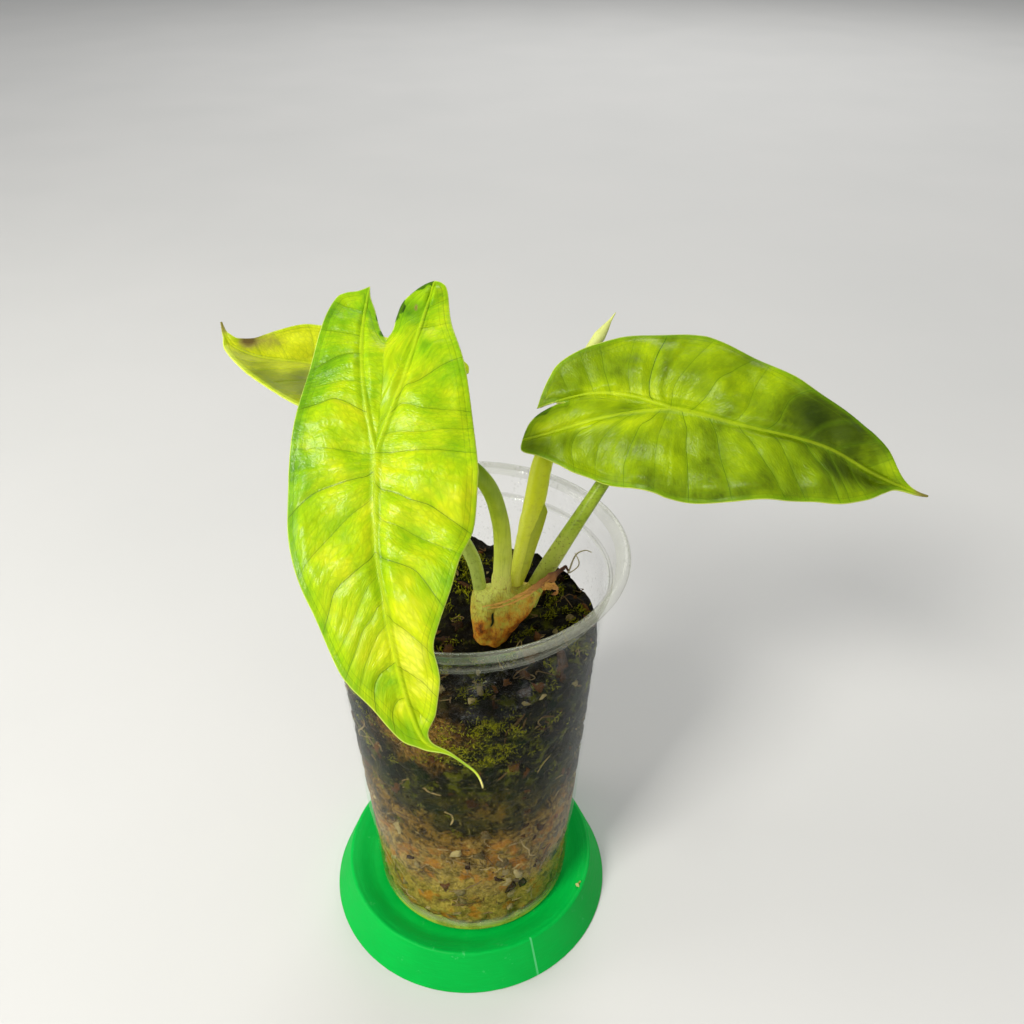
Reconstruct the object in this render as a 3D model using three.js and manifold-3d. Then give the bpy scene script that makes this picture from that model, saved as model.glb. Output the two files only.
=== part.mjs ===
// A small variegated alocasia growing in a clear plastic cup on a green saucer.
// Units are millimetres, +Z is up and the origin is the middle of the saucer's underside.
// The front of the plant faces -Y.

import * as THREE from "three";
import { mergeVertices } from "three/addons/utils/BufferGeometryUtils.js";
import Module from "manifold-3d";

const wasm = await Module();
wasm.setup();

// Driving dimensions
const SEAT_GAP = 0.3;
const SAUCER_RADIUS = 48.9;
const SAUCER_TOP_RADIUS = 43.2;
const SAUCER_HEIGHT = 14;
const SAUCER_FLOOR = 10.7;
const CUP_X = 1.1;
const CUP_BASE = SAUCER_FLOOR + SEAT_GAP;
const CUP_TOP = 148.8;
const CUP_BASE_RADIUS = 33.2;
const CUP_SHOULDER_RADIUS = 41.9;
const CUP_SHOULDER = 138.4;
const RIM_RADIUS = 47.5;
const CUP_WALL = 0.8;
const MIX_TOP = 120.5;
const BLADE_THICKNESS = 0.6;
const RIB_DEPTH = 0.9;

const group = new THREE.Group();

// Adds one finished piece to the plant
function addPiece(name, geometry, color, roughness, extras = {}) {
  const material = new THREE.MeshStandardMaterial({ color, roughness, metalness: 0, ...extras });
  const mesh = new THREE.Mesh(geometry, material);
  mesh.name = name;
  group.add(mesh);
}

// Turns a geometry into a solid that can be joined and cut
function solidOf(geometry) {
  const bare = geometry.clone();
  bare.deleteAttribute("normal");
  bare.deleteAttribute("uv");
  const merged = mergeVertices(bare, 1e-4);
  const vertProperties = new Float32Array(merged.attributes.position.array);
  const triVerts = new Uint32Array(merged.index.array);
  return new wasm.Manifold(new wasm.Mesh({ numProp: 3, vertProperties, triVerts }));
}

// Turns a joined or cut solid back into a geometry
function geometryOf(solid) {
  const mesh = solid.getMesh();
  const geometry = new THREE.BufferGeometry();
  geometry.setAttribute("position", new THREE.Float32BufferAttribute(mesh.vertProperties, 3));
  geometry.setIndex(Array.from(mesh.triVerts));
  geometry.computeVertexNormals();
  return geometry;
}

// Makes a geometry from lists of points and of triangles
function meshFrom(points, triangles) {
  const geometry = new THREE.BufferGeometry();
  const numbers = points.flatMap((p) => [p.x, p.y, p.z]);
  geometry.setAttribute("position", new THREE.Float32BufferAttribute(numbers, 3));
  geometry.setIndex(triangles.flat());
  geometry.computeVertexNormals();
  return geometry;
}

// Turns an outline of [radius, height] points round a vertical axis at x
function turned(outline, segments, x) {
  const profile = outline.map(([radius, height]) => new THREE.Vector2(radius, height));
  const geometry = new THREE.LatheGeometry(profile, segments);
  geometry.rotateX(Math.PI / 2);
  geometry.translate(x, 0, 0);
  return geometry;
}

// A repeatable sequence of numbers from 0 to 1
function randomSequence(seed) {
  let state = seed;
  return () => {
    state = (state * 1664525 + 1013904223) % 4294967296;
    return state / 4294967296;
  };
}

const vector = ([x, y, z]) => new THREE.Vector3(x, y, z);
const smoothCurve = (points) => new THREE.CatmullRomCurve3(points.map(vector), false, "catmullrom", 0.5);

// Sweeps rings of points into a closed stalk; each ring is {centre, side, front, wide, deep}
function skinRings(rings, sides) {
  const points = [];
  for (const ring of rings) {
    for (let k = 0; k < sides; k += 1) {
      const angle = (2 * Math.PI * k) / sides;
      const across = ring.side.clone().multiplyScalar(ring.wide * Math.cos(angle));
      const along = ring.front.clone().multiplyScalar(ring.deep * Math.sin(angle));
      points.push(ring.centre.clone().add(across).add(along));
    }
  }
  const triangles = [];
  for (let i = 0; i + 1 < rings.length; i += 1) {
    for (let k = 0; k < sides; k += 1) {
      const a = i * sides + k;
      const b = i * sides + ((k + 1) % sides);
      triangles.push([a, b, b + sides], [a, b + sides, a + sides]);
    }
  }
  const last = (rings.length - 1) * sides;
  const bottom = points.push(rings[0].centre.clone()) - 1;
  const top = points.push(rings[rings.length - 1].centre.clone()) - 1;
  for (let k = 0; k < sides; k += 1) {
    const next = (k + 1) % sides;
    triangles.push([next, k, bottom], [last + k, last + next, top]);
  }
  return meshFrom(points, triangles);
}

// A tapered round stalk along a curve; the radii are spread evenly along it
function stalk(route, radii, steps, sides, extra = 0) {
  const curve = smoothCurve(route);
  const reference = new THREE.Vector3(0, 1, 0);
  const rings = [];
  for (let i = 0; i <= steps; i += 1) {
    const t = i / steps;
    const tangent = curve.getTangentAt(t);
    const side = reference.clone().cross(tangent).normalize();
    const front = tangent.clone().cross(side);
    const place = t * (radii.length - 1);
    const below = Math.min(Math.floor(place), radii.length - 2);
    const radius = THREE.MathUtils.lerp(radii[below], radii[below + 1], place - below) + extra;
    rings.push({ centre: curve.getPointAt(t), side, front, wide: radius, deep: radius });
  }
  return skinRings(rings, sides);
}

// Saucer: a wide foot, a sloping wall and a shallow recess that the cup stands in
function saucer() {
  const outline = [
    [0, 0],
    [SAUCER_RADIUS - 0.4, 0],
    [SAUCER_RADIUS, 0.6],
    [SAUCER_TOP_RADIUS + 0.3, SAUCER_HEIGHT - 0.6],
    [SAUCER_TOP_RADIUS - 0.3, SAUCER_HEIGHT],
    [SAUCER_TOP_RADIUS - 1.2, SAUCER_HEIGHT - 0.2],
    [CUP_BASE_RADIUS + 3.2, SAUCER_FLOOR],
    [0, SAUCER_FLOOR],
  ];
  return turned(outline, 60, 0);
}

// Radius of the cup's outer wall below its shoulder
function cupRadius(height) {
  const rise = (height - CUP_BASE) / (CUP_SHOULDER - CUP_BASE);
  return CUP_BASE_RADIUS + (CUP_SHOULDER_RADIUS - CUP_BASE_RADIUS) * rise + 0.3 * Math.sin(Math.PI * rise);
}

// Cup: thin clear plastic with a raised middle underneath, two stacking rings and a rolled lip
function cup() {
  const footRecess = 1.4;
  const middle = CUP_BASE + (CUP_SHOULDER - CUP_BASE) / 2;
  const outside = [
    [0, CUP_BASE + footRecess],
    [CUP_BASE_RADIUS - 5, CUP_BASE + footRecess],
    [CUP_BASE_RADIUS - 3.4, CUP_BASE],
    [CUP_BASE_RADIUS - 0.8, CUP_BASE],
    [CUP_BASE_RADIUS, CUP_BASE + 1],
    [cupRadius(middle), middle],
    [CUP_SHOULDER_RADIUS, CUP_SHOULDER],
  ];
  const rings = [
    [CUP_SHOULDER_RADIUS + 1, CUP_SHOULDER + 1],
    [CUP_SHOULDER_RADIUS + 0.4, CUP_SHOULDER + 2.2],
    [CUP_SHOULDER_RADIUS + 1.6, CUP_SHOULDER + 3.4],
    [CUP_SHOULDER_RADIUS + 2, CUP_SHOULDER + 7.4],
  ];
  const lip = [
    [RIM_RADIUS - 1.2, CUP_TOP - 2.6],
    [RIM_RADIUS, CUP_TOP - 1.7],
    [RIM_RADIUS - 0.2, CUP_TOP - 0.5],
    [RIM_RADIUS - 1.2, CUP_TOP],
    [RIM_RADIUS - 2.6, CUP_TOP - 0.2],
    [RIM_RADIUS - 3.4, CUP_TOP - 1.2],
  ];
  const inward = ([radius, height]) => [radius - CUP_WALL, height];
  const inside = [...[...rings].reverse().map(inward), ...outside.slice(4).reverse().map(inward)];
  const floor = [
    [CUP_BASE_RADIUS - 1.6, CUP_BASE + CUP_WALL],
    [CUP_BASE_RADIUS - 3.2, CUP_BASE + CUP_WALL],
    [CUP_BASE_RADIUS - 4.8, CUP_BASE + footRecess + CUP_WALL],
    [0, CUP_BASE + footRecess + CUP_WALL],
  ];
  return turned([...outside, ...rings, ...lip, ...inside, ...floor], 40, CUP_X);
}

// Height of the uneven top of the growing mix: mossy humps, higher at the back left
function mixHeight(x, y) {
  const slope = 0.03 * (y - x);
  const humps = 1.5 * Math.sin(x * 0.19 + 1.3) * Math.cos(y * 0.16 - 0.4);
  const clods = 0.9 * Math.sin(x * 0.47 - y * 0.22) * Math.sin(y * 0.41 + x * 0.13 + 0.8);
  return MIX_TOP + slope + humps + clods;
}

// Growing mix: fills the cup up to its uneven, mossy top
function growingMix() {
  const sides = 32;
  const topRings = 8;
  const wallRadius = (height) => cupRadius(height) - CUP_WALL - SEAT_GAP;
  const floorHeight = CUP_BASE + 1.4 + CUP_WALL + SEAT_GAP;
  const topRadius = wallRadius(MIX_TOP) - 0.2;
  const points = [new THREE.Vector3(CUP_X, 0, mixHeight(CUP_X, 0))];
  const circle = (radius, heightAt) => {
    for (let k = 0; k < sides; k += 1) {
      const angle = (2 * Math.PI * k) / sides;
      const x = CUP_X + radius * Math.cos(angle);
      const y = radius * Math.sin(angle);
      points.push(new THREE.Vector3(x, y, heightAt(x, y)));
    }
  };
  for (let ring = 1; ring <= topRings; ring += 1) {
    circle((topRadius * ring) / topRings, mixHeight);
  }
  const middle = (floorHeight + MIX_TOP) / 2;
  for (const height of [MIX_TOP - 14, middle, floorHeight + 2]) {
    circle(wallRadius(height) - 0.1, () => height);
  }
  circle(CUP_BASE_RADIUS - 6, () => floorHeight);
  const rings = topRings + 4;
  const triangles = [];
  for (let k = 0; k < sides; k += 1) {
    triangles.push([0, 1 + k, 1 + ((k + 1) % sides)]);
  }
  for (let ring = 0; ring + 1 < rings; ring += 1) {
    for (let k = 0; k < sides; k += 1) {
      const a = 1 + ring * sides + k;
      const b = 1 + ring * sides + ((k + 1) % sides);
      triangles.push([a, a + sides, b + sides], [a, b + sides, b]);
    }
  }
  const bottom = points.push(new THREE.Vector3(CUP_X, 0, floorHeight)) - 1;
  for (let k = 0; k < sides; k += 1) {
    const a = 1 + (rings - 1) * sides + k;
    const b = 1 + (rings - 1) * sides + ((k + 1) % sides);
    triangles.push([a, bottom, b]);
  }
  return solidOf(meshFrom(points, triangles));
}

// Bits of bark and pumice that lie half sunk in the top of the mix, clear of the corm and the wall
function surfaceBits() {
  const random = randomSequence(7);
  const bits = [];
  const keepClear = new THREE.Vector2(CORM_FOOT[0], CORM_FOOT[1]);
  while (bits.length < 20) {
    const angle = 2 * Math.PI * random();
    const reach = 34 * Math.sqrt(random());
    const x = CUP_X + reach * Math.cos(angle);
    const y = reach * Math.sin(angle);
    const size = 1.4 + 2 * random();
    const turn = Math.PI * random();
    if (keepClear.distanceTo(new THREE.Vector2(x, y)) > 13 + size) {
      const bit = new THREE.IcosahedronGeometry(size, 0);
      bit.scale(1.3, 0.9, 0.8);
      bit.rotateZ(turn);
      bit.translate(x, y, mixHeight(x, y) + 0.1 * size);
      bits.push(solidOf(bit));
    }
  }
  return bits;
}

// Corm and stalk bases: a swollen foot in the mix that widens into a flat fan above it
const CORM_FOOT = [7.2, -5.8];
const CORM_RINGS = [
  { at: [7, -6, 97], wide: 2.4, deep: 2.4 },
  { at: [7, -6, 99], wide: 4.6, deep: 4.6 },
  { at: [7, -6, 104], wide: 6.6, deep: 6.4 },
  { at: [7.1, -6, 111], wide: 6.4, deep: 6.1 },
  { at: [7.4, -5.8, 118], wide: 4.9, deep: 4.9 },
  { at: [9.1, -5.6, 123], wide: 6.4, deep: 4.7 },
  { at: [10.7, -5.2, 128], wide: 7.9, deep: 4.7 },
  { at: [12.3, -4.6, 132.5], wide: 9.5, deep: 4.8 },
  { at: [12.8, -4.3, 134.6], wide: 10, deep: 4.4 },
  { at: [12.9, -4.2, 135.4], wide: 9, deep: 3.6 },
];

function cormBody(extra = 0) {
  const side = new THREE.Vector3(1, 0, 0);
  const front = new THREE.Vector3(0, 1, 0);
  const rings = CORM_RINGS.map(({ at, wide, deep }) => {
    return { centre: vector(at), side, front, wide: wide + extra, deep: deep + extra };
  });
  return solidOf(skinRings(rings, 18));
}

// Roots run from the corm's underside out and down through the mix
const ROOT_ENDS = [
  [-24, -20, 62],
  [28, -22, 54],
  [33, 8, 78],
  [-14, 25, 48],
  [6, -29, 34],
];

function roots(extra = 0) {
  const start = [7, -6, 103];
  return ROOT_ENDS.map((end, index) => {
    const bend = index % 2 ? 1.8 : -1.8;
    const part = (share, k) => start[k] + share * (end[k] - start[k]);
    const shoulder = [part(0.45, 0), part(0.45, 1), start[2] - 3];
    const knee = [0.86 * end[0], 0.86 * end[1] + bend, part(0.5, 2)];
    return solidOf(stalk([start, shoulder, knee, end], [1.3, 1.1, 0.8], 9, 6, extra));
  });
}

// Stalk routes from their sockets in the corm up to where they turn under their blades
const SOCKET_FLOOR = 130.5;

const STALK_A = {
  route: [[10.6, -5.2, SOCKET_FLOOR], [11.3, -4.6, 140], [11.6, -4.8, 150], [10.6, -6, 162], [7, -9.6, 175.4],
    [-0.9, -13.6, 186.4], [-9.6, -16.6, 191]],
  radii: [2.4, 2.6, 2.4, 2.3, 2.1, 1.9, 1.7],
};
const STALK_B = {
  route: [[19.2, -5, SOCKET_FLOOR], [21, -4.3, 135.4], [24, -2.5, 140.2], [34.7, 4, 154.8],
    [44.4, 9.6, 167.6], [53, 13.4, 177.6]],
  radii: [2.4, 2.6, 2.2, 1.9, 1.8, 1.6],
};
const STALK_C = {
  route: [[5, -3.4, SOCKET_FLOOR], [4.8, -2, 136], [3, 2, 142.6], [-3.1, 9, 152.1], [-10.6, 21, 164],
    [-15.4, 32, 172]],
  radii: [1.9, 2.1, 1.9, 1.7, 1.6, 1.5],
};
const SHEATH = {
  route: [[15.2, -2.4, SOCKET_FLOOR], [15.6, -1.4, 135.6], [17, 1, 142.3], [19.2, 5, 149.4], [21.7, 9, 157.8],
    [23.6, 12.6, 166.1], [26.4, 16.5, 173.1]],
  radii: [1.8, 2.1, 2.5, 3, 3.2, 3.1, 2.6],
};
const NEW_LEAF = {
  route: [[25.6, 15.4, 171.2], [29.4, 19.9, 179.6], [34, 24.7, 188.1], [38.6, 29.3, 195.1],
    [42.8, 32.6, 199.8], [46.4, 35.5, 203.8]],
  radii: [1.4, 2, 2.3, 2.3, 1.8, 1.1, 0.3],
};

function stalkOf({ route, radii }, steps, sides, extra = 0) {
  return stalk(route, radii, steps, sides, extra);
}

// The sheath carries a thin wing down its right side and a socket in its top for the new leaf
function sheath() {
  const body = solidOf(stalkOf(SHEATH, 16, 12));
  const wingRoute = [[18.4, 0.2, 141], [21.4, 3.8, 148.6], [24.4, 7.6, 156], [25.9, 10, 161]];
  const wing = solidOf(ribbon(wingRoute, [0.9, 1.7, 2, 1.1], new THREE.Vector3(1, -0.35, -0.2), 8));
  return body.add(wing).subtract(solidOf(stalkOf(NEW_LEAF, 16, 10, SEAT_GAP)));
}

// A strip of even thickness along a curve, widening and narrowing as its half widths say
function ribbon(route, halfWidths, widthDirection, steps) {
  const curve = smoothCurve(route);
  const rings = [];
  for (let i = 0; i <= steps; i += 1) {
    const t = i / steps;
    const tangent = curve.getTangentAt(t);
    const front = tangent.clone().cross(widthDirection).normalize();
    const side = front.clone().cross(tangent).normalize();
    const place = t * (halfWidths.length - 1);
    const below = Math.min(Math.floor(place), halfWidths.length - 2);
    const wide = THREE.MathUtils.lerp(halfWidths[below], halfWidths[below + 1], place - below);
    rings.push({ centre: curve.getPointAt(t), side, front, wide, deep: 0.45 });
  }
  return skinRings(rings, 8);
}

// Dry scale leaf: the papery remains that wrap the front of the stalk bases and end in a dark tip
function dryScale() {
  const route = [[5.6, -9.4, 130.6], [9.6, -10.1, 132.6], [14.4, -10, 134.6], [19.2, -8.8, 137],
    [24, -6.9, 139.8], [28.6, -4.8, 142.4], [31.4, -3, 144.6]];
  return ribbon(route, [0.9, 1.8, 2.1, 2, 1.7, 1.3, 0.5], new THREE.Vector3(-0.3, 0.12, 1), 14);
}

// Where each stalk meets its blade
const JUNCTION_A = [-19.4, -26.5, 196];
const JUNCTION_B = [59.4, 9, 186.4];
const JUNCTION_C = [-18.4, 41.6, 182.3];

// Blades. Flat places are [u, v]: u runs from the stalk's joint towards the tip, v across.
// Each half has an inner edge (sinus to lobe end), a lobe edge (lobe end to the side)
// and a front edge (side to tip).
const BLADE_A = {
  spine: [[-16.4, 6.8, 220.3], [-17.3, -11.5, 209.4], JUNCTION_A, [-19.7, -41.4, 181.2], [-18, -50.9, 171.1],
    [-15.6, -59.4, 158.7], [-12.8, -65.2, 148.7], [-9.6, -68.4, 142.7], [-3.6, -69.8, 139.3],
    [4.7, -73.1, 133.5]],
  joint: 2,
  facing: [-0.04, -0.68, 0.77],
  fold: 0.16,
  camber: 0.008,
  wave: 1.1,
  sinus: [-29.3, 0],
  right: {
    veinBow: 0.3,
    inner: [[-29.3, 0], [-32, 1.6], [-36, 2.4], [-40.4, 3.8], [-43.6, 6.5], [-45.8, 9.2], [-46.9, 11.6]],
    lobe: [[-46.9, 11.6], [-46.2, 13.6], [-43.7, 14.9], [-33.3, 16.1], [-21, 19.7], [-5.7, 23], [5, 24.3]],
    front: [[5, 24.3], [19.9, 22.6], [31, 17.7], [42.5, 11.4], [47.7, 9.1], [53.4, 9], [57.1, 8.4],
      [64.2, 5.3], [69, 1.6], [77, 0.7], [87, 0.3]],
  },
  left: {
    veinBow: 3.2,
    inner: [[-29.3, 0], [-32.6, 1.6], [-38.1, 3], [-42.1, 4.3], [-45.4, 4.6]],
    lobe: [[-45.4, 4.6], [-43.9, 7.4], [-43.3, 10.6], [-41.4, 13], [-34, 15.5], [-15.8, 18.7], [5, 20.4]],
    front: [[5, 20.4], [19.2, 20.2], [36.3, 16.2], [47.4, 13.5], [52.2, 11.5], [58.3, 7.8], [66.1, 4.6],
      [69.9, 2.4], [77, 0.7], [87, 0.3]],
  },
};
const BLADE_B = {
  spine: [[22, 17, 182.1], [40, 14.7, 185.7], JUNCTION_B, [78.2, 1.6, 184.3], [98.4, -3.5, 180.5],
    [113.5, -7.2, 173], [129.4, -8.4, 165.6]],
  joint: 2,
  facing: [-0.04, -0.68, 0.77],
  fold: 0.17,
  camber: 0.008,
  wave: 1.2,
  sinus: [-30, 1.2],
  right: {
    veinBow: 2.4,
    inner: [[-30, 1.2], [-33, 1.7], [-35.6, 1.4], [-38.2, 0.9]],
    lobe: [[-38.2, 0.9], [-36.2, 4.9], [-33.3, 9.3], [-29.7, 13.1], [-20.2, 17.8], [-11.6, 21.3], [4, 22.6]],
    front: [[4, 22.6], [19.8, 20.4], [30, 17.4], [38.5, 13.6], [48.6, 10.8], [54.1, 9.8], [60.1, 7.8],
      [66.1, 3], [70.4, 1], [76.2, 0.3]],
  },
  left: {
    veinBow: 1,
    inner: [[-30, -1.2], [-33, -1], [-37.7, 0.9], [-40.8, 3.6], [-43.1, 8.1]],
    lobe: [[-43.1, 8.1], [-43.5, 11.2], [-38.9, 13.5], [-34.3, 16.8], [-29.5, 20.1], [-20.7, 22.6],
      [-10.7, 24.4], [4, 25.4]],
    front: [[4, 25.4], [14.7, 24.2], [27.9, 19.6], [36.5, 17.8], [50, 14.2], [57.1, 9.1], [62.4, 4.1],
      [65.8, 1.8], [72, 0.8], [76.2, 0.3]],
  },
};
const BLADE_C = {
  spine: [[-1.9, 38.2, 180.6], JUNCTION_C, [-32.1, 44.4, 183.3], [-47.3, 47.6, 184.8], [-59.4, 49.3, 186],
    [-66.9, 51.4, 188.5], [-69.5, 53.5, 191.3], [-70.9, 56.1, 195]],
  joint: 1,
  facing: [-0.02, -0.24, 0.97],
  fold: 0.25,
  camber: 0.003,
  wave: 0.6,
  sinus: [-13, 0],
  right: {
    veinBow: 1.2,
    inner: [[-13, 0], [-16, 1.4], [-19.4, 3.4], [-22, 6.4]],
    lobe: [[-22, 6.4], [-21.4, 10.6], [-16, 15], [-8, 18.4], [3, 21]],
    front: [[3, 21], [14, 22.8], [22, 22.4], [31.6, 19.2], [36.7, 15.8], [44.3, 8.6], [50.4, 4], [53.4, 1.6],
      [56, 0.7], [59, 0.3]],
  },
  left: {
    veinBow: 1.2,
    inner: [[-13, 0], [-16, 1.2], [-19, 2.8], [-21.6, 5.4]],
    lobe: [[-21.6, 5.4], [-20.6, 8.4], [-16, 11], [-8, 12.6], [3, 13.8]],
    front: [[3, 13.8], [15, 14.8], [26, 14.6], [32.3, 14.2], [39.9, 10.7], [43.2, 8.6], [47, 5.4], [53, 2.2],
      [56, 0.7], [59, 0.3]],
  },
};

// Lays flat leaf places onto the bent leaf in space
function bentLeaf(leaf) {
  const curve = smoothCurve(leaf.spine);
  const samples = 40 * (leaf.spine.length - 1);
  curve.arcLengthDivisions = samples;
  const lengths = curve.getLengths(samples);
  const total = lengths[samples];
  const back = lengths[40 * leaf.joint];
  const facing = vector(leaf.facing).normalize();
  const creaseAt = (u) => (u < 0 ? leaf.sinus[1] * Math.min(u / leaf.sinus[0], 1) : 0);
  return (u, v, relief) => {
    const along = THREE.MathUtils.clamp((u + back) / total, 0.001, 0.999);
    const tangent = curve.getTangentAt(along);
    const centre = curve.getPointAt(along);
    centre.addScaledVector(tangent, u + back - along * total);
    const across = facing.clone().cross(tangent).normalize();
    const normal = tangent.clone().cross(across);
    const reach = Math.abs(v - creaseAt(u));
    const ripple = leaf.wave * (reach / 20) ** 2 * Math.sin(u * 0.21 + (v > 0 ? 0.6 : 2.4));
    const height = leaf.fold * reach - leaf.camber * reach ** 2 + ripple + relief;
    return centre.addScaledVector(across, v).addScaledVector(normal, height);
  };
}

// Builds a blade from patches between its veins and its edges; rows follow the side veins
function blade(leaf, extra = 0) {
  const place = bentLeaf(leaf);
  const tipLength = leaf.right.front[leaf.right.front.length - 1][0];
  const columns = [0, 0.06, 0.24, 0.5, 0.78, 1];
  const points = [];
  const ribs = [];
  const triangles = [];
  const known = new Map();
  const vertex = (u, v, relief, rib) => {
    const key = `${u.toFixed(4)},${v.toFixed(4)}`;
    if (!known.has(key)) {
      known.set(key, points.length);
      points.push(place(u, v, relief));
      ribs.push(rib);
    }
    return known.get(key);
  };
  // The flesh swells between side veins, and each row bows back towards the lobes
  const addPatch = ({ veinAt, edgeAt, rows, veins, swell, bow, side, flip }) => {
    const grid = [];
    for (let i = 0; i <= rows; i += 1) {
      const f = i / rows;
      const [u0, v0] = veinAt(f);
      const [u1, v1] = edgeAt(f);
      const pillow = swell * (0.5 - 0.5 * Math.cos(2 * Math.PI * veins * f));
      grid.push(columns.map((t) => {
        const u = u0 + (u1 - u0) * t - bow * 4 * t * (1 - t) * Math.sin(Math.PI * f);
        const v = v0 + (v1 - v0) * t;
        return vertex(u, side * v, pillow * Math.sin(Math.PI * t), t === 0 ? RIB_DEPTH * (1 - f) : 0);
      }));
    }
    for (let i = 0; i < rows; i += 1) {
      for (let j = 0; j + 1 < columns.length; j += 1) {
        const corners = [grid[i][j], grid[i + 1][j], grid[i + 1][j + 1], grid[i][j + 1]];
        const [a, b, c, d] = flip ? corners.reverse() : corners;
        triangles.push([a, b, c], [a, c, d]);
      }
    }
  };
  for (const [half, side] of [[leaf.right, 1], [leaf.left, -1]]) {
    const edge = (list) => new THREE.SplineCurve(list.map(([u, v]) => new THREE.Vector2(u, v)));
    const inner = edge(half.inner);
    const lobe = edge(half.lobe);
    const front = edge(half.front);
    const [lobeU, lobeV] = half.lobe[0];
    const midrib = (f) => [tipLength * f, 0];
    const swept = (f, sweep) => Math.min(1, f + sweep * Math.sin(Math.PI * f));
    const frontEdge = (f) => front.getPointAt(swept(f, 0.1)).toArray();
    const lobeVein = (f) => [lobeU * f, lobeV * f + half.veinBow * Math.sin(Math.PI * f)];
    const lobeEdge = (f) => lobe.getPointAt(1 - swept(f, 0.12)).toArray();
    const innerEdge = (f) => {
      if (f <= 0.5) {
        return [leaf.sinus[0] * 2 * f, side * leaf.sinus[1] * 2 * f];
      }
      return inner.getPointAt(2 * f - 1).toArray();
    };
    const right = side > 0;
    const frontPatch = { veinAt: midrib, edgeAt: frontEdge, rows: 20, veins: 7, swell: 0.5, bow: 2 };
    const lobePatch = { veinAt: lobeVein, edgeAt: lobeEdge, rows: 8, veins: 4, swell: 0.4, bow: 0 };
    const innerPatch = { veinAt: lobeVein, edgeAt: innerEdge, rows: 8, veins: 1, swell: 0.3, bow: 0 };
    addPatch({ ...frontPatch, side, flip: !right });
    addPatch({ ...lobePatch, side, flip: right });
    addPatch({ ...innerPatch, side, flip: !right });
  }
  return thickened(points, ribs, triangles, BLADE_THICKNESS / 2 + extra);
}

// Gives a surface its thickness, alike on both faces, with the ribs standing out underneath
function thickened(points, ribs, triangles, halfThickness) {
  const kept = triangles.filter(([a, b, c]) => a !== b && b !== c && a !== c);
  const surface = meshFrom(points, kept);
  const normals = surface.attributes.normal;
  const count = points.length;
  const solid = [];
  for (const side of [1, -1]) {
    points.forEach((point, k) => {
      const rib = side < 0 ? ribs[k] : 0;
      const offset = side * (halfThickness + rib);
      const normal = new THREE.Vector3().fromBufferAttribute(normals, k);
      solid.push(point.clone().addScaledVector(normal, offset));
    });
  }
  const faces = [];
  const edges = new Map();
  for (const [a, b, c] of kept) {
    faces.push([a, b, c], [a + count, c + count, b + count]);
    for (const [from, to] of [[a, b], [b, c], [c, a]]) {
      edges.set(`${from},${to}`, [from, to]);
    }
  }
  for (const [from, to] of edges.values()) {
    if (!edges.has(`${to},${from}`)) {
      faces.push([from, from + count, to + count], [from, to + count, to]);
    }
  }
  return meshFrom(solid, faces);
}

// A stalk that turns square under its blade and stops just short of it
function bladeStalk({ route, radii }, leaf, steps) {
  const place = bentLeaf(leaf);
  const seat = [-5, -0.8].map((depth) => place(0, 0, depth).toArray());
  const whole = solidOf(stalk([...route, ...seat], radii, steps, 12));
  return geometryOf(whole.subtract(solidOf(blade(leaf, SEAT_GAP))));
}

const stalks = [STALK_A, STALK_B, STALK_C, SHEATH];
const stalkSockets = stalks.map((piece) => solidOf(stalkOf(piece, 14, 12, SEAT_GAP)));
const cormSolid = [cormBody(), ...roots()].reduce((whole, piece) => whole.add(piece));
const corm = stalkSockets.reduce((whole, socket) => whole.subtract(socket), cormSolid);
const cormHole = [cormBody(SEAT_GAP), ...roots(SEAT_GAP)].reduce((whole, piece) => whole.add(piece));
const mix = surfaceBits().reduce((whole, bit) => whole.add(bit), growingMix()).subtract(cormHole);

addPiece("saucer", saucer(), 0x12b07c, 0.5);
addPiece("cup", cup(), 0xdfe6e4, 0.12, { transparent: true, opacity: 0.35 });
addPiece("growing_mix", geometryOf(mix), 0x4a4a30, 0.95);
addPiece("corm", geometryOf(corm), 0xb59a4a, 0.6);
addPiece("stalk_a", bladeStalk(STALK_A, BLADE_A, 22), 0xb7c267, 0.42);
addPiece("stalk_b", bladeStalk(STALK_B, BLADE_B, 18), 0xa9b95a, 0.42);
addPiece("stalk_c", bladeStalk(STALK_C, BLADE_C, 18), 0xb4bf62, 0.42);
addPiece("sheath", geometryOf(sheath()), 0xccd07c, 0.42);
addPiece("new_leaf", stalkOf(NEW_LEAF, 16, 10), 0xe6e3ae, 0.45);
addPiece("dry_scale", dryScale(), 0xb98a55, 0.85);
addPiece("blade_a", blade(BLADE_A), 0xb9c93a, 0.3, { side: THREE.DoubleSide });
addPiece("blade_b", blade(BLADE_B), 0xa2bd2c, 0.3, { side: THREE.DoubleSide });
addPiece("blade_c", blade(BLADE_C), 0xd0cf56, 0.3, { side: THREE.DoubleSide });

export default group;
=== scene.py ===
# Looks of a small variegated alocasia in a clear cup on a green saucer.
# Sizes are in millimetres in the part's own frame, and become metres in add_piece().

import math

import bmesh
import bpy
import numpy as np
from mathutils import Matrix, Vector


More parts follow.
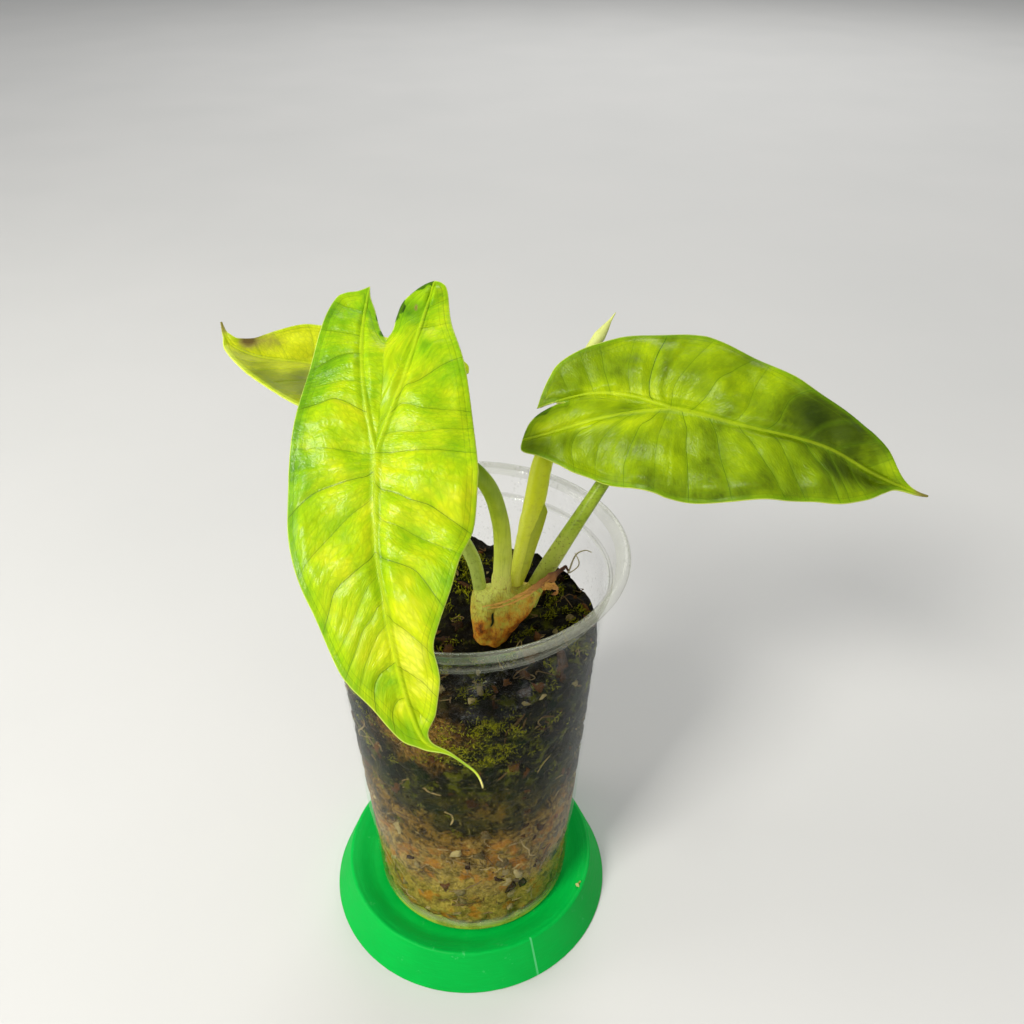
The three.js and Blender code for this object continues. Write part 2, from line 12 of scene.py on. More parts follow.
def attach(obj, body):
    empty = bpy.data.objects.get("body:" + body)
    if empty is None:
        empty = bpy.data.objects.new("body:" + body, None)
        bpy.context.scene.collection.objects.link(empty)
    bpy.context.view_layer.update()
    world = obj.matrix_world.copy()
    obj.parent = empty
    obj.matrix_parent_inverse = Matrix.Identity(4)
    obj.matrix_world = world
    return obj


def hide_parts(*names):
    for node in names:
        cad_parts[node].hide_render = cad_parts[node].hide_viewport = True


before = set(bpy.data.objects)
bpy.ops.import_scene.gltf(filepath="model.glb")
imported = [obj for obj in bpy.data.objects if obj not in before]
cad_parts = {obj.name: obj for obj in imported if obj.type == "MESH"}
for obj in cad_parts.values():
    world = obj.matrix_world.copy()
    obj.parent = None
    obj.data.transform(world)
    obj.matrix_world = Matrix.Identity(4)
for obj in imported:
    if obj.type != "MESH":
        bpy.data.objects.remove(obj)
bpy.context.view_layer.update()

MM = 0.001
IMAGE_SIDE = 1024
LATTICE = np.random.default_rng(3).uniform(-1, 1, 8192)

# Sizes repeated from the part's source
SAUCER_RADIUS = 48.9
SAUCER_TOP_RADIUS = 43.2
SAUCER_HEIGHT = 14
SAUCER_FLOOR = 10.7
CUP_X = 1.1
CUP_BASE = 11
CUP_TOP = 148.8
CUP_BASE_RADIUS = 33.2
CUP_SHOULDER_RADIUS = 41.9
CUP_SHOULDER = 138.4
RIM_RADIUS = 47.5
LIP_ROLL = 1.5
CUP_WALL = 0.8
FOOT_HEIGHT = 1.4
SEAT_GAP = 0.3
MIX_TOP = 120.5


# Curves and shapes
def unit(vectors):
    return vectors / np.linalg.norm(vectors, axis=-1, keepdims=True)


class Curve:
    """A smooth curve through points, walked by its length."""

    STEPS = 80

    def __init__(self, points, open_ends=True):
        p = np.array(points, float)
        first = 2 * p[0] - p[1] if open_ends else p[0]
        last = 2 * p[-1] - p[-2] if open_ends else p[-1]
        q = np.vstack([first, p, last])
        t = np.linspace(0, 1, self.STEPS, endpoint=False)[:, None]
        spans = []
        for p0, p1, p2, p3 in zip(q, q[1:], q[2:], q[3:]):
            out, into = (p2 - p0) / 2, (p3 - p1) / 2
            cubic = 2 * (p1 - p2) + out + into
            square = 3 * (p2 - p1) - 2 * out - into
            spans.append(cubic * t**3 + square * t**2 + out * t + p1)
        self.points = np.vstack([*spans, p[-1:]])
        steps = np.linalg.norm(np.diff(self.points, axis=0), axis=1)
        self.lengths = np.concatenate([[0], np.cumsum(steps)])
        self.total = self.lengths[-1]

    def at(self, share):
        way = np.clip(share, 0, 1) * self.total
        parts = [np.interp(way, self.lengths, part) for part in self.points.T]
        return np.stack(parts, axis=-1)

    def tangent(self, share, reach=0.004):
        return unit(self.at(share + reach) - self.at(share - reach))


def noise(places, size, octaves=1):
    """Smooth random values from about -1 to 1; size is the width of a lump."""
    places = np.asarray(places, float) / size
    total, strength = 0, 1
    for _ in range(octaves):
        cell = np.floor(places).astype(np.int64)
        part = places - cell
        blend = part * part * (3 - 2 * part)
        for corner in np.ndindex(2, 2, 2):
            key = (cell + corner) @ np.array([73856093, 19349663, 83492791])
            weight = np.prod(np.where(corner, blend, 1 - blend), axis=-1)
            total = total + strength * weight * LATTICE[key % LATTICE.size]
        strength, places = strength / 2, places * 2.03 + 17.1
    return total


def full_turn(count):
    """Angles spread evenly round a circle."""
    return np.linspace(0, 2 * np.pi, count, endpoint=False)


def bell(offset, width):
    """1 where the offset is zero, falling to nothing a little past the width."""
    return np.exp(-((offset / width) ** 2))


def grid_faces(rows, columns, closed=False):
    """Quads over a grid of points; closed joins the last column to the first."""
    index = np.arange(rows * columns).reshape(rows, columns)
    if closed:
        index = np.hstack([index, index[:, :1]])
    corners = [index[:-1, :-1], index[:-1, 1:], index[1:, 1:], index[1:, :-1]]
    return np.stack(corners, axis=-1).reshape(-1, 4)


class Shape:
    """Points, faces and named values at the points, gathered from several parts."""

    def __init__(self):
        self.points, self.faces, self.layers, self.count = [], [], {}, 0

    def add(self, points, faces, **layers):
        points = np.asarray(points, float).reshape(-1, 3)
        self.faces += [[int(k) + self.count for k in face] for face in faces]
        for name, values in layers.items():
            filled = np.broadcast_to(np.asarray(values, float).ravel(), len(points))
            self.layers.setdefault(name, []).append(filled)
        self.points.append(points)
        self.count += len(points)
        return self


def capped(rows, columns):
    """Faces round a tube of points, with one more over each end."""
    faces = grid_faces(rows, columns, closed=True).tolist()
    last = (rows - 1) * columns
    return faces + [list(range(columns)), list(range(last, last + columns))]


def add_piece(name, shape, look, slot, *nodes):
    """Makes a piece that rides on the plant and stands for the named CAD nodes."""
    mesh = bpy.data.meshes.new(name)
    points = np.vstack(shape.points) * MM
    mesh.from_pydata(points.tolist(), [], shape.faces)
    for layer, parts in shape.layers.items():
        values = np.concatenate(parts).astype(np.float32)
        mesh.attributes.new(layer, "FLOAT", "POINT").data.foreach_set("value", values)
    working = bmesh.new()
    working.from_mesh(mesh)
    bmesh.ops.recalc_face_normals(working, faces=working.faces)
    working.to_mesh(mesh)
    working.free()
    mesh.materials.append(look.material)
    mesh.polygons.foreach_set("use_smooth", [True] * len(mesh.polygons))
    piece = bpy.data.objects.new(name, mesh)
    bpy.context.scene.collection.objects.link(piece)
    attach(piece, "root")
    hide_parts(*nodes)


def tube(route, radii, steps, sides, profile=None, reference=(0, 1, 0)):
    """A closed stalk along a route; profile may scale its radius by place and angle.
    Its sides are laid out from the reference, which the route may not run along."""
    curve = Curve(route)
    share = np.linspace(0, 1, steps + 1)
    tangent = curve.tangent(share)
    side = unit(np.cross(reference, tangent))
    front = np.cross(tangent, side)
    radius = np.interp(share, np.linspace(0, 1, len(radii)), radii)[:, None]
    angle = full_turn(sides)[None]
    if profile:
        radius = radius * profile(share[:, None], angle)
    around = side[:, None] * np.cos(angle)[..., None] + front[:, None] * np.sin(angle)[..., None]
    points = curve.at(share)[:, None] + around * (radius * np.ones_like(angle))[..., None]
    return points.reshape(-1, 3), capped(steps + 1, sides)


def turned(outline, segments, x):
    """Turns a [radius, height] outline round a vertical axis at x, flat at both its ends."""
    radius, height = np.array(outline, float).T[..., None]
    angle = full_turn(segments)
    level = np.repeat(height, segments, axis=1)
    points = np.stack([x + radius * np.cos(angle), radius * np.sin(angle), level], axis=-1)
    return points.reshape(-1, 3), capped(len(outline), segments)


def stepped(radius, height, steps):
    """Outline points that lie the given steps out and up from a radius and a height."""
    return [(radius + out, height + up) for out, up in steps]


def ball():
    """Points and triangles of a small round lump to be copied."""
    working = bmesh.new()
    bmesh.ops.create_icosphere(working, subdivisions=2, radius=1)
    points = np.array([vertex.co[:] for vertex in working.verts])
    faces = [[vertex.index for vertex in face.verts] for face in working.faces]
    working.free()
    return points, faces


def turn_matrix(random):
    """A random turn as a 3 by 3 matrix."""
    matrix, _ = np.linalg.qr(random.normal(size=(3, 3)))
    return matrix


# Materials
def shade(red, green, blue):
    """A colour as light strength, from the usual 0 to 255 numbers."""
    parts = [c / 255 for c in (red, green, blue)]
    light = [c / 12.92 if c <= 0.04045 else ((c + 0.055) / 1.055) ** 2.4 for c in parts]
    return (*light, 1)


class Field:
    """A value that changes over a surface, reckoned with like a number."""

    def __init__(self, look, socket):
        self.look, self.socket = look, socket

    def __add__(self, other):
        return self.look.math("ADD", self, other)

    def __sub__(self, other):
        return self.look.math("SUBTRACT", self, other)

    def __mul__(self, other):
        return self.look.math("MULTIPLY", self, other)

    def __truediv__(self, other):
        return self.look.math("DIVIDE", self, other)

    def __pow__(self, other):
        return self.look.math("POWER", self, other)

    def __abs__(self):
        return self.look.math("ABSOLUTE", self)


class Look:
    """A material with short calls for the nodes it is built from."""

    def __init__(self, name, **fixed):
        self.material = bpy.data.materials.new(name)
        self.material.use_nodes = True
        self.tree = self.material.node_tree
        self.shader = self.tree.nodes["Principled BSDF"]
        for socket, value in fixed.items():
            self.shader.inputs[socket.replace("_", " ")].default_value = value
        self.shader.inputs["Subsurface Scale"].default_value = MM
        self.place = self.node("TexCoord", {}, "Object")
        self.color = None

    def node(self, kind, inputs, output=0, **settings):
        node = self.tree.nodes.new("ShaderNode" + kind)
        for key, value in settings.items():
            setattr(node, key, value)
        for key, value in inputs.items():
            if isinstance(value, Field):
                self.tree.links.new(value.socket, node.inputs[key])
            else:
                node.inputs[key].default_value = value
        return Field(self, node.outputs[output])

    def drive(self, socket, field):
        self.tree.links.new(field.socket, self.shader.inputs[socket])

    def layer(self, name):
        return self.node("Attribute", {}, "Fac", attribute_name=name)

    def axis(self, letter):
        return self.node("SeparateXYZ", {0: self.place}, letter)

    def height(self):
        """Height above the floor in millimetres."""
        return self.axis("Z") * (1 / MM)

    def math(self, operation, *values):
        return self.node("Math", dict(enumerate(values)), operation=operation)

    def combine(self, x, y):
        return self.node("CombineXYZ", {0: x, 1: y})

    def stretched(self, x, y, z):
        """Object places with each axis divided by a size in millimetres."""
        scale = (1 / (x * MM), 1 / (y * MM), 1 / (z * MM))
        return self.node("Mapping", {"Vector": self.place, "Scale": scale})

    def at(self, size, place):
        """Where a pattern is read and its scale: size is in millimetres unless a place is given."""
        if place:
            return {"Vector": place, "Scale": 1 / size}
        return {"Vector": self.place, "Scale": 1 / (size * MM)}

    def noise(self, size, detail=3.0, roughness=0.5, place=None):
        return self.node("TexNoise", {**self.at(size, place), "Detail": detail, "Roughness": roughness})

    def cells(self, size, place=None, feature="F1"):
        return self.node("TexVoronoi", self.at(size, place), "Distance", feature=feature)

    def step(self, value, low, high, start=0.0, end=1.0):
        """Rises smoothly from start to end as the value goes from low to high."""
        inputs = {0: value, 1: low, 2: high, 3: start, 4: end}
        return self.node("MapRange", inputs, interpolation_type="SMOOTHSTEP")

    def mix(self, factor, a, b):
        return self.node("Mix", {0: factor, 6: a, 7: b}, 2, data_type="RGBA")

    def ramp(self, value, *stops):
        """Blends tones along a value; a stop is its place, then red, green and blue."""
        ramp = self.node("ValToRGB", {0: value})
        elements = ramp.socket.node.color_ramp.elements
        while len(elements) < len(stops):
            elements.new(1)
        for element, (place, *tone) in zip(elements, stops):
            element.position = place
            element.color = shade(*tone)
        return ramp

    def paint(self, share, *tone):
        """Lays a tone over the colour so far: red, green and blue, or one ready colour."""
        over = shade(*tone) if len(tone) == 3 else tone[0]
        self.color = self.mix(share, self.color, over)

    def finish(self, roughness, height, depth, strength):
        """Sets the colour, the roughness and a fine relief of the given depth in millimetres."""
        self.drive("Base Color", self.color)
        self.drive("Roughness", roughness)
        normal = self.node("Bump", {"Height": height, "Distance": depth * MM, "Strength": strength})
        self.drive("Normal", normal)
        self.drive("Coat Normal", normal)
        return self


# Camera: the photograph's place and direction
CAMERA_AT = Vector((0, -222.93, 311.55)) * MM
CAMERA_FORWARD = Vector((0.05361, 0.82523, -0.56225))
CAMERA_RIGHT = Vector((0.99807, -0.06195, 0.00424))
FOCAL_PIXELS = 960
SENSOR = 36


def camera():
    data = bpy.data.cameras.new("camera")
    data.sensor_width = SENSOR
    data.lens = SENSOR * FOCAL_PIXELS / IMAGE_SIDE
    data.clip_start, data.clip_end = 0.01, 20
    holder = bpy.data.objects.new("camera", data)
    up = CAMERA_RIGHT.cross(CAMERA_FORWARD).normalized()
    right = CAMERA_FORWARD.cross(up).normalized()
    rows = Matrix((right, up, -CAMERA_FORWARD)).transposed()
    holder.matrix_world = Matrix.Translation(CAMERA_AT) @ rows.to_4x4()
    bpy.context.scene.collection.objects.link(holder)
    bpy.context.scene.camera = holder


def soft_light(name, place, target, side, power, color=(1, 1, 1)):
    """A square soft light at place, turned towards target."""
    data = bpy.data.lights.new(name, "AREA")
    data.size, data.energy, data.color = side * MM, power, color
    holder = bpy.data.objects.new(name, data)
    holder.location = Vector(place) * MM
    aim = Vector(target) * MM - holder.location
    holder.rotation_euler = aim.to_track_quat("-Z", "Y").to_euler()
    bpy.context.scene.collection.objects.link(holder)


def studio():
    """A plain pale floor and soft light that comes mostly from the upper left."""
    look = Look("floor", Specular_IOR_Level=0.2)
    tone = look.noise(160, 4)
    look.color = look.mix(tone, shade(198, 198, 195), shade(206, 205, 202))
    look.finish(look.step(tone, 0.2, 0.8, 0.7, 0.85), look.noise(1.5), 0.05, 0.2)
    bpy.ops.mesh.primitive_plane_add(size=16)
    floor = bpy.context.object
    floor.name = "floor"
    floor.data.materials.append(look.material)
    soft_light("key", (-580, -640, 940), (5, 0, 110), 320, 14.5, (1, 0.98, 0.93))
    soft_light("side", (-1000, 60, 400), (12, -4, 145), 400, 3.6, (1, 0.99, 0.93))
    soft_light("front", (240, -1400, 840), (0, 0, 110), 1200, 3)
    soft_light("back", (500, 1900, 1700), (0, 300, 0), 1500, 26)
    world = bpy.data.worlds.new("studio")
    world.use_nodes = True
    sky = world.node_tree.nodes["Background"]
    sky.inputs["Color"].default_value = (0.97, 0.98, 1, 1)
    sky.inputs["Strength"].default_value = 0.4
    bpy.context.scene.world = world
    bpy.context.scene.view_settings.view_transform = "Standard"


# Blades. Flat places are (u, v): u runs from the stalk's joint to the tip, v across the half.
# The joint is the spine's point over the stalk. Fold, camber and wave bend the halves, quilt, billow
# and cord raise the flesh and the ribs, hook turns the tip aside, and sinus is the notch's end.
# Each half lists its margin as the part does, then its side veins from the lobe to the tip,
# each as its depth and its places from the main vein to the margin.
BLADE_A = {
    "spine": [(-16.4, 6.8, 220.3), (-17.3, -11.5, 209.4), (-19.4, -26.5, 196), (-19.7, -41.4, 181.2),
              (-18, -50.9, 171.1), (-15.6, -59.4, 158.7), (-12.8, -65.2, 148.7), (-9.6, -68.4, 142.7),
              (-3.6, -69.8, 139.3), (4.7, -73.1, 133.5)],
    "joint": 2, "facing": (-0.04, -0.68, 0.77), "fold": 0.16, "camber": 0.008, "wave": 1.1,
    "quilt": 0.95, "billow": 0.9, "cord": 0.22, "hook": 2.2, "sinus": (-29.3, 0),
    "streaks": 0.32, "gloss": 0.15, "tone": 0.59,
    "right": {
        "bow": 0.3,
        "inner": [(-29.3, 0), (-32, 1.6), (-36, 2.4), (-40.4, 3.8), (-43.6, 6.5), (-45.8, 9.2),
                  (-46.9, 11.6)],
        "lobe": [(-46.9, 11.6), (-46.2, 13.6), (-43.7, 14.9), (-33.3, 16.1), (-21, 19.7), (-5.7, 23),
                 (5, 24.3)],
        "front": [(5, 24.3), (19.9, 22.6), (31, 17.7), (42.5, 11.4), (47.7, 9.1), (53.4, 9), (57.1, 8.4),
                  (64.2, 5.3), (69, 1.3), (76, 0.4), (87, 0.25)],
        "veins": [
            (0.7, [(-36, 7), (-38.5, 10), (-41, 14)]),
            (0.7, [(-29.5, 6.6), (-31.5, 7.6), (-33, 10.5), (-33.5, 15)]),
            (1, [(-14, 4), (-16.5, 5.6), (-17.8, 8.1), (-19.8, 10.9), (-22.3, 14.6), (-23.5, 18)]),
            (0.8, [(-10.5, 3.2), (-12.3, 5), (-12.2, 7.2), (-11.4, 10), (-11.6, 14.5), (-12, 20)]),
            (0.6, [(-4.5, 1.6), (-5.4, 5), (-5.4, 10), (-6.5, 15), (-7.6, 21)]),
            (1, [(0.2, 0), (-0.2, 8), (-0.6, 15), (-0.2, 22)]),
            (1.3, [(7.5, 0), (9, 1.5), (10, 5), (11.7, 8.2), (13.3, 12.8), (15.9, 16.2), (19.7, 20.4)]),
            (0.7, [(14.5, 0), (16.6, 2), (18, 5.2), (21, 9.6), (24.4, 14.8), (27.5, 18.6)]),
            (1.2, [(24, 0), (25.6, 1.5), (26.9, 3.8), (28.4, 6.4), (30.1, 8.4), (33.3, 10.2), (38, 12.6)]),
            (0.9, [(38.5, 0), (40.4, 1.3), (42.5, 3.4), (44.5, 4.9), (47, 6.9), (51, 9)]),
            (0.9, [(50.5, 0), (53, 2.5), (56, 5), (60, 7)]),
            (0.6, [(60, 0), (63, 2), (66, 3.6)]),
        ],
    },
    "left": {
        "bow": 3.2,
        "inner": [(-29.3, 0), (-32.6, 1.6), (-38.1, 3), (-42.1, 4.3), (-45.4, 4.6)],
        "lobe": [(-45.4, 4.6), (-43.9, 7.4), (-43.3, 10.6), (-41.4, 13), (-34, 15.5), (-15.8, 18.7),
                 (5, 20.4)],
        "front": [(5, 20.4), (19.2, 20.2), (36.3, 16.2), (47.4, 13.5), (52.2, 11.5), (58.3, 7.8), (66.1, 4.6),
                  (69.9, 1.9), (76, 0.4), (87, 0.25)],
        "veins": [
            (0.6, [(-37, 5.4), (-38.6, 8.4), (-40, 12.5)]),
            (0.8, [(-29.8, 5.5), (-30.3, 7.5), (-30.8, 9.8), (-31.6, 15)]),
            (1.2, [(-24.9, 5.3), (-24.8, 8.6), (-24, 11.3), (-22.7, 13.6), (-20.5, 17.6)]),
            (0.5, [(-17, 5), (-17.2, 8.6), (-16.4, 12), (-14.6, 17.6)]),
            (1.2, [(-9.8, 4), (-10.2, 5.2), (-11.4, 7.9), (-12, 11), (-10.9, 13.8), (-9, 18)]),
            (0.6, [(0.6, 0), (0, 7), (-0.3, 12), (0, 19)]),
            (1.3, [(4.6, 0), (6, 2.3), (6.5, 4.5), (7.5, 8.1), (8.7, 12), (10.5, 15.4), (13.8, 19)]),
            (0.8, [(10.5, 0), (12.3, 2), (15, 5.6), (19.6, 10.2), (24.5, 15.8), (27.4, 18.4)]),
            (1.2, [(23.5, 0), (24.5, 1), (26, 2.6), (28, 6), (30.2, 9.7), (32, 11.3), (35.5, 12.8),
                   (40, 15)]),
            (0.6, [(28.5, 0), (31.4, 3), (35.6, 6), (40, 8.6), (45, 12.6)]),
            (0.9, [(35, 0), (36.6, 2), (39, 3.8), (41, 6), (44.5, 8), (50, 11.6)]),
            (0.7, [(40.3, 0), (42.5, 2.8), (45.5, 5), (50, 7.8), (54, 9.8)]),
            (1.2, [(49.5, 0), (50.5, 2.5), (51.5, 4.5), (54, 6.3), (59, 7.2)]),
            (1, [(58, 0), (58.5, 2.2), (60.5, 4), (64.5, 4.8)]),
        ],
    },
    # Paler and greener places, each as u, v, its half sizes and how much paler; the pale spots at (16, 14)
    # and (48, 4) are partly painted highlight, the sheen on the right half
    "patches": [(-38, 5, 6, 4, -0.16), (-36, -4, 6, 3, -0.16), (-4, -18, 26, 4, -0.22),
                (-22, -13, 18, 5, -0.12), (16, 14, 8, 8, 0.16), (48, 4, 18, 5, 0.34),
                (-10, 12, 14, 8, 0.04), (40, -6, 16, 5, 0.08), (88, 0, 3.6, 3, 1.2),
                (79, 0, 6, 2, -0.16), (-27, 9.7, 2.4, 1.6, -0.2), (66, -4, 8, 4, -0.14)],
    # Margins as from u, to u, side, width and how much paler
    "rims": [(-46, 40, -1, 3, -0.16), (20, 70, 1, 2, -0.08)],
    "sinus_stain": 1.3,
    # Brown places as u, v, half sizes and how brown
    "brown": [(-38.5, 7.2, 1, 0.5, 1)],
}
BLADE_B = {
    "spine": [(22, 17, 182.1), (40, 14.7, 185.7), (59.4, 9, 186.4), (78.2, 1.6, 184.3), (98.4, -3.5, 180.5),
              (113.5, -7.2, 173), (129.4, -8.4, 165.6)],
    "joint": 2, "facing": (-0.04, -0.68, 0.77), "fold": 0.17, "camber": 0.008, "wave": 1.2,
    "quilt": 0.6, "billow": 1.6, "cord": 0.24, "hook": -0.6, "sinus": (-30, 1.2),
    "streaks": 0.16, "gloss": 0.05, "tone": 0.455,
    "right": {
        "bow": 2.4,
        "inner": [(-30, 1.2), (-33, 1.7), (-35.6, 1.4), (-38.2, 0.9)],
        "lobe": [(-38.2, 0.9), (-36.2, 4.9), (-33.3, 9.3), (-29.7, 13.1), (-20.2, 17.8), (-11.6, 21.3),
                 (4, 22.6)],
        "front": [(4, 22.6), (19.8, 20.4), (30, 17.4), (38.5, 13.6), (48.6, 10.8), (54.1, 9.8), (60.1, 7.8),
                  (66.1, 3), (70.4, 1), (76.2, 0.3)],
        "veins": [
            (0.5, [(-28, 3), (-29, 6), (-30.5, 11)]),
            (0.7, [(-22, 3.4), (-23, 7), (-24.6, 14)]),
            (0.9, [(-17.5, 3), (-18, 5), (-19.2, 9), (-20, 13.5), (-20.6, 17.5)]),
            (0.6, [(-12, 2), (-12.8, 6), (-13.2, 11), (-12.6, 19)]),
            (2, [(-5.5, 1), (-6.6, 2.4), (-7.2, 4.5), (-7.4, 7.5), (-6.9, 12), (-5.8, 17), (-5, 21)]),
            (0.7, [(-0.6, 0), (-0.8, 6), (1, 10.5), (2.5, 14), (5, 20)]),
            (1, [(4.5, 0), (5.8, 1.6), (8, 6), (9.6, 10.6), (12.2, 14), (14.2, 16.6), (18, 20)]),
            (0.8, [(16, 0), (18, 2), (19.3, 5), (19.9, 9), (20.6, 13), (23, 18.6)]),
            (1.2, [(24.5, 0), (25.8, 0.6), (28.2, 3), (29.3, 6.8), (30.4, 9.8), (32.5, 12.2), (36, 14.4)]),
            (1, [(36, 0), (38, 2.5), (40, 5), (43, 7.5), (48, 10.4)]),
            (1, [(45, 0), (47, 2.5), (50, 5), (55, 8.6)]),
            (0.7, [(55, 0), (57, 2), (60.5, 5)]),
        ],
    },
    "left": {
        "bow": 1,
        "inner": [(-30, -1.2), (-33, -1), (-37.7, 0.9), (-40.8, 3.6), (-43.1, 8.1)],
        "lobe": [(-43.1, 8.1), (-43.5, 11.2), (-38.9, 13.5), (-34.3, 16.8), (-29.5, 20.1), (-20.7, 22.6),
                 (-10.7, 24.4), (4, 25.4)],
        "front": [(4, 25.4), (14.7, 24.2), (27.9, 19.6), (36.5, 17.8), (50, 14.2), (57.1, 9.1), (62.4, 4.1),
                  (65.8, 1.8), (72, 0.8), (76.2, 0.3)],
        "veins": [
            (0.5, [(-33, 5.6), (-35, 8.6), (-37, 13)]),
            (0.9, [(-19, 5.6), (-23.5, 7.3), (-26.5, 8), (-28.6, 9.8), (-30, 13), (-30, 18)]),
            (0.7, [(-13, 5), (-17, 8.5), (-20, 12), (-22, 17), (-22.5, 21)]),
            (1.2, [(-4.6, 3), (-5.8, 4.6), (-8, 6.6), (-9.2, 10.2), (-10.6, 14.4), (-11.4, 18.5),
                   (-10.8, 23)]),
            (0.6, [(-1, 0.4), (-2, 5), (-2.4, 10), (-2, 16), (-1, 23)]),
            (1.4, [(2.5, 0), (4.1, 3.3), (5.4, 6), (6.2, 9.7), (7.6, 13.4), (9.1, 17.3), (11, 22.5)]),
            (1.1, [(10, 0), (13, 4), (15, 8), (17, 12.5), (20, 19)]),
            (1.2, [(18.2, 0), (19.8, 2.3), (22, 4), (24.4, 7), (26.9, 9.8), (29.3, 12.2), (33.5, 17)]),
            (1.1, [(26, 0), (29.5, 3.2), (32.5, 7), (36, 11.5), (40, 15.4)]),
            (1.4, [(34.5, 0), (36.3, 1), (39.2, 3.5), (42.5, 6), (46, 8.2), (51, 12)]),
            (1.2, [(43, 0), (45.5, 3), (48, 5.5), (52.5, 9.6)]),
            (0.9, [(50, 0), (52.5, 2.5), (56.5, 6.4)]),
            (0.6, [(57, 0), (59.5, 2), (62, 3.6)]),
        ],
    },
    # Paler and darker places as for leaf a; those at (-4, 11), (47, 6), (47, -5) and (56, -3) are painted
    # shade in the folds and on the part that turns from the light
    "patches": [(-36, -6, 8, 2.6, 0.25), (-18, -6, 16, 2.2, 0.22), (-18, 3, 12, 2, 0.2),
                (-34, -11, 8, 3, -0.1), (-4, 11, 1.6, 8, -0.2), (-8, 10, 3, 8, 0.15), (12, -12, 6, 7, -0.1),
                (30, 6, 6, 6, -0.15), (47, 6, 16, 9, -0.25), (40, 6, 5, 5, -0.1), (47, -5, 5, 3, -0.22),
                (56, -3, 6, 3, -0.2), (24, 11, 7, 5, 0.14), (36, 9, 5, 6, -0.12), (63, 4, 5, 2, 0.25),
                (-16.3, 8.3, 2, 2, -0.15), (75, 0, 5, 3, 0.4), (0, 17, 14, 4, 0.1)],
    "rims": [(-30, 60, 1, 2, -0.12)],
    "sinus_stain": 0.5,
    "brown": [(75, 0, 4, 2, 1)],
}
BLADE_C = {
    "spine": [(-1.9, 38.2, 180.6), (-18.4, 41.6, 182.3), (-32.1, 44.4, 183.3), (-47.3, 47.6, 184.8),
              (-59.4, 49.3, 186), (-66.9, 51.4, 188.5), (-69.5, 53.5, 191.3), (-70.9, 56.1, 195)],
    "joint": 1, "facing": (-0.02, -0.24, 0.97), "fold": 0.25, "camber": 0.003, "wave": 0.6,
    "quilt": 0.3, "billow": 0.3, "cord": 0.1, "hook": 0, "sinus": (-13, 0),
    "streaks": 0.06, "gloss": 0.03, "tone": 0.66,
    "right": {
        "bow": 1.2,
        "inner": [(-13, 0), (-16, 1.4), (-19.4, 3.4), (-22, 6.4)],
        "lobe": [(-22, 6.4), (-21.4, 10.6), (-16, 15), (-8, 18.4), (3, 21)],
        "front": [(3, 21), (14, 22.8), (22, 22.4), (31.6, 19.2), (36.7, 15.8), (44.3, 8.6), (50.4, 4),
                  (53.4, 1.6), (56, 0.7), (59, 0.3)],
        "veins": [
            (0.4, [(-8, 3), (-6.4, 10), (-3, 18)]),
            (0.5, [(0, 0), (5, 8), (11, 14), (17, 21)]),
            (0.5, [(10, 0), (15, 4.5), (21, 8.5), (28, 11.5), (36, 15)]),
            (0.4, [(20, 0), (24, 1.8), (29, 4), (35, 6.4), (43, 9)]),
            (0.4, [(32, 0), (37, 2), (43, 4), (49, 5)]),
        ],
    },
    "left": {
        "bow": 1.2,
        "inner": [(-13, 0), (-16, 1.2), (-19, 2.8), (-21.6, 5.4)],
        "lobe": [(-21.6, 5.4), (-20.6, 8.4), (-16, 11), (-8, 12.6), (3, 13.8)],
        "front": [(3, 13.8), (15, 14.8), (26, 14.6), (32.3, 14.2), (39.9, 10.7), (43.2, 8.6), (47, 5.4),
                  (53, 2.2), (56, 0.7), (59, 0.3)],
        "veins": [
            (0.4, [(-3, 0), (-2.6, 6), (-2, 12.5)]),
            (0.4, [(6, 0), (7.5, 5), (9, 10), (10.5, 14)]),
            (0.4, [(15, 0), (17, 5), (19, 10), (21, 14.4)]),
            (0.5, [(24, 0), (26.5, 5), (28.5, 10), (30.5, 14)]),
            (0.4, [(33, 0), (35.5, 4), (38.5, 8), (41, 10)]),
            (0.4, [(41, 0), (43.5, 3), (46.5, 5.6)]),
        ],
    },
    # Paler and darker places as for leaf a: the patch at (14, 13) is painted shade over the near half, which
    # turns from the light, and (25, -8) is painted light on the far half; the first rim is painted light
    # where the near half's margin rolls up
    "patches": [(25, -8, 22, 7, 0.1), (14, 13, 30, 13, -0.42), (58, 0, 4, 3, 0.2)],
    "rims": [(14, 52, 1, 1.6, 0.5), (0, 44, -1, 1.2, 0.3)],
    "sinus_stain": 0,
    "brown": [(48.2, -4.2, 3, 2.5, 1.6), (41.5, -6.4, 6.5, 4, 0.6), (58, 0, 3, 2, 1)],
}

BLADE_THICKNESS = 0.6
RIB_DEPTH = 0.9
FRONT_ROWS = 150
LOBE_ROWS = 84
COLUMNS = 42
INNER_COLUMNS = 18
PILLOW = 0.72
PILLOW_WIDTH = 5
VEIN_CUT = 0.14
VEIN_STRETCH = 6
FAR_VEIN = 9
HOOK_LENGTH = 5
RIPPLE_TURN = 0.21
COLUMN_CROWDING = 0.045
FRONT_SWEEP = 0.1
LOBE_SWEEP = 0.12
CRUMPLE = 0.13


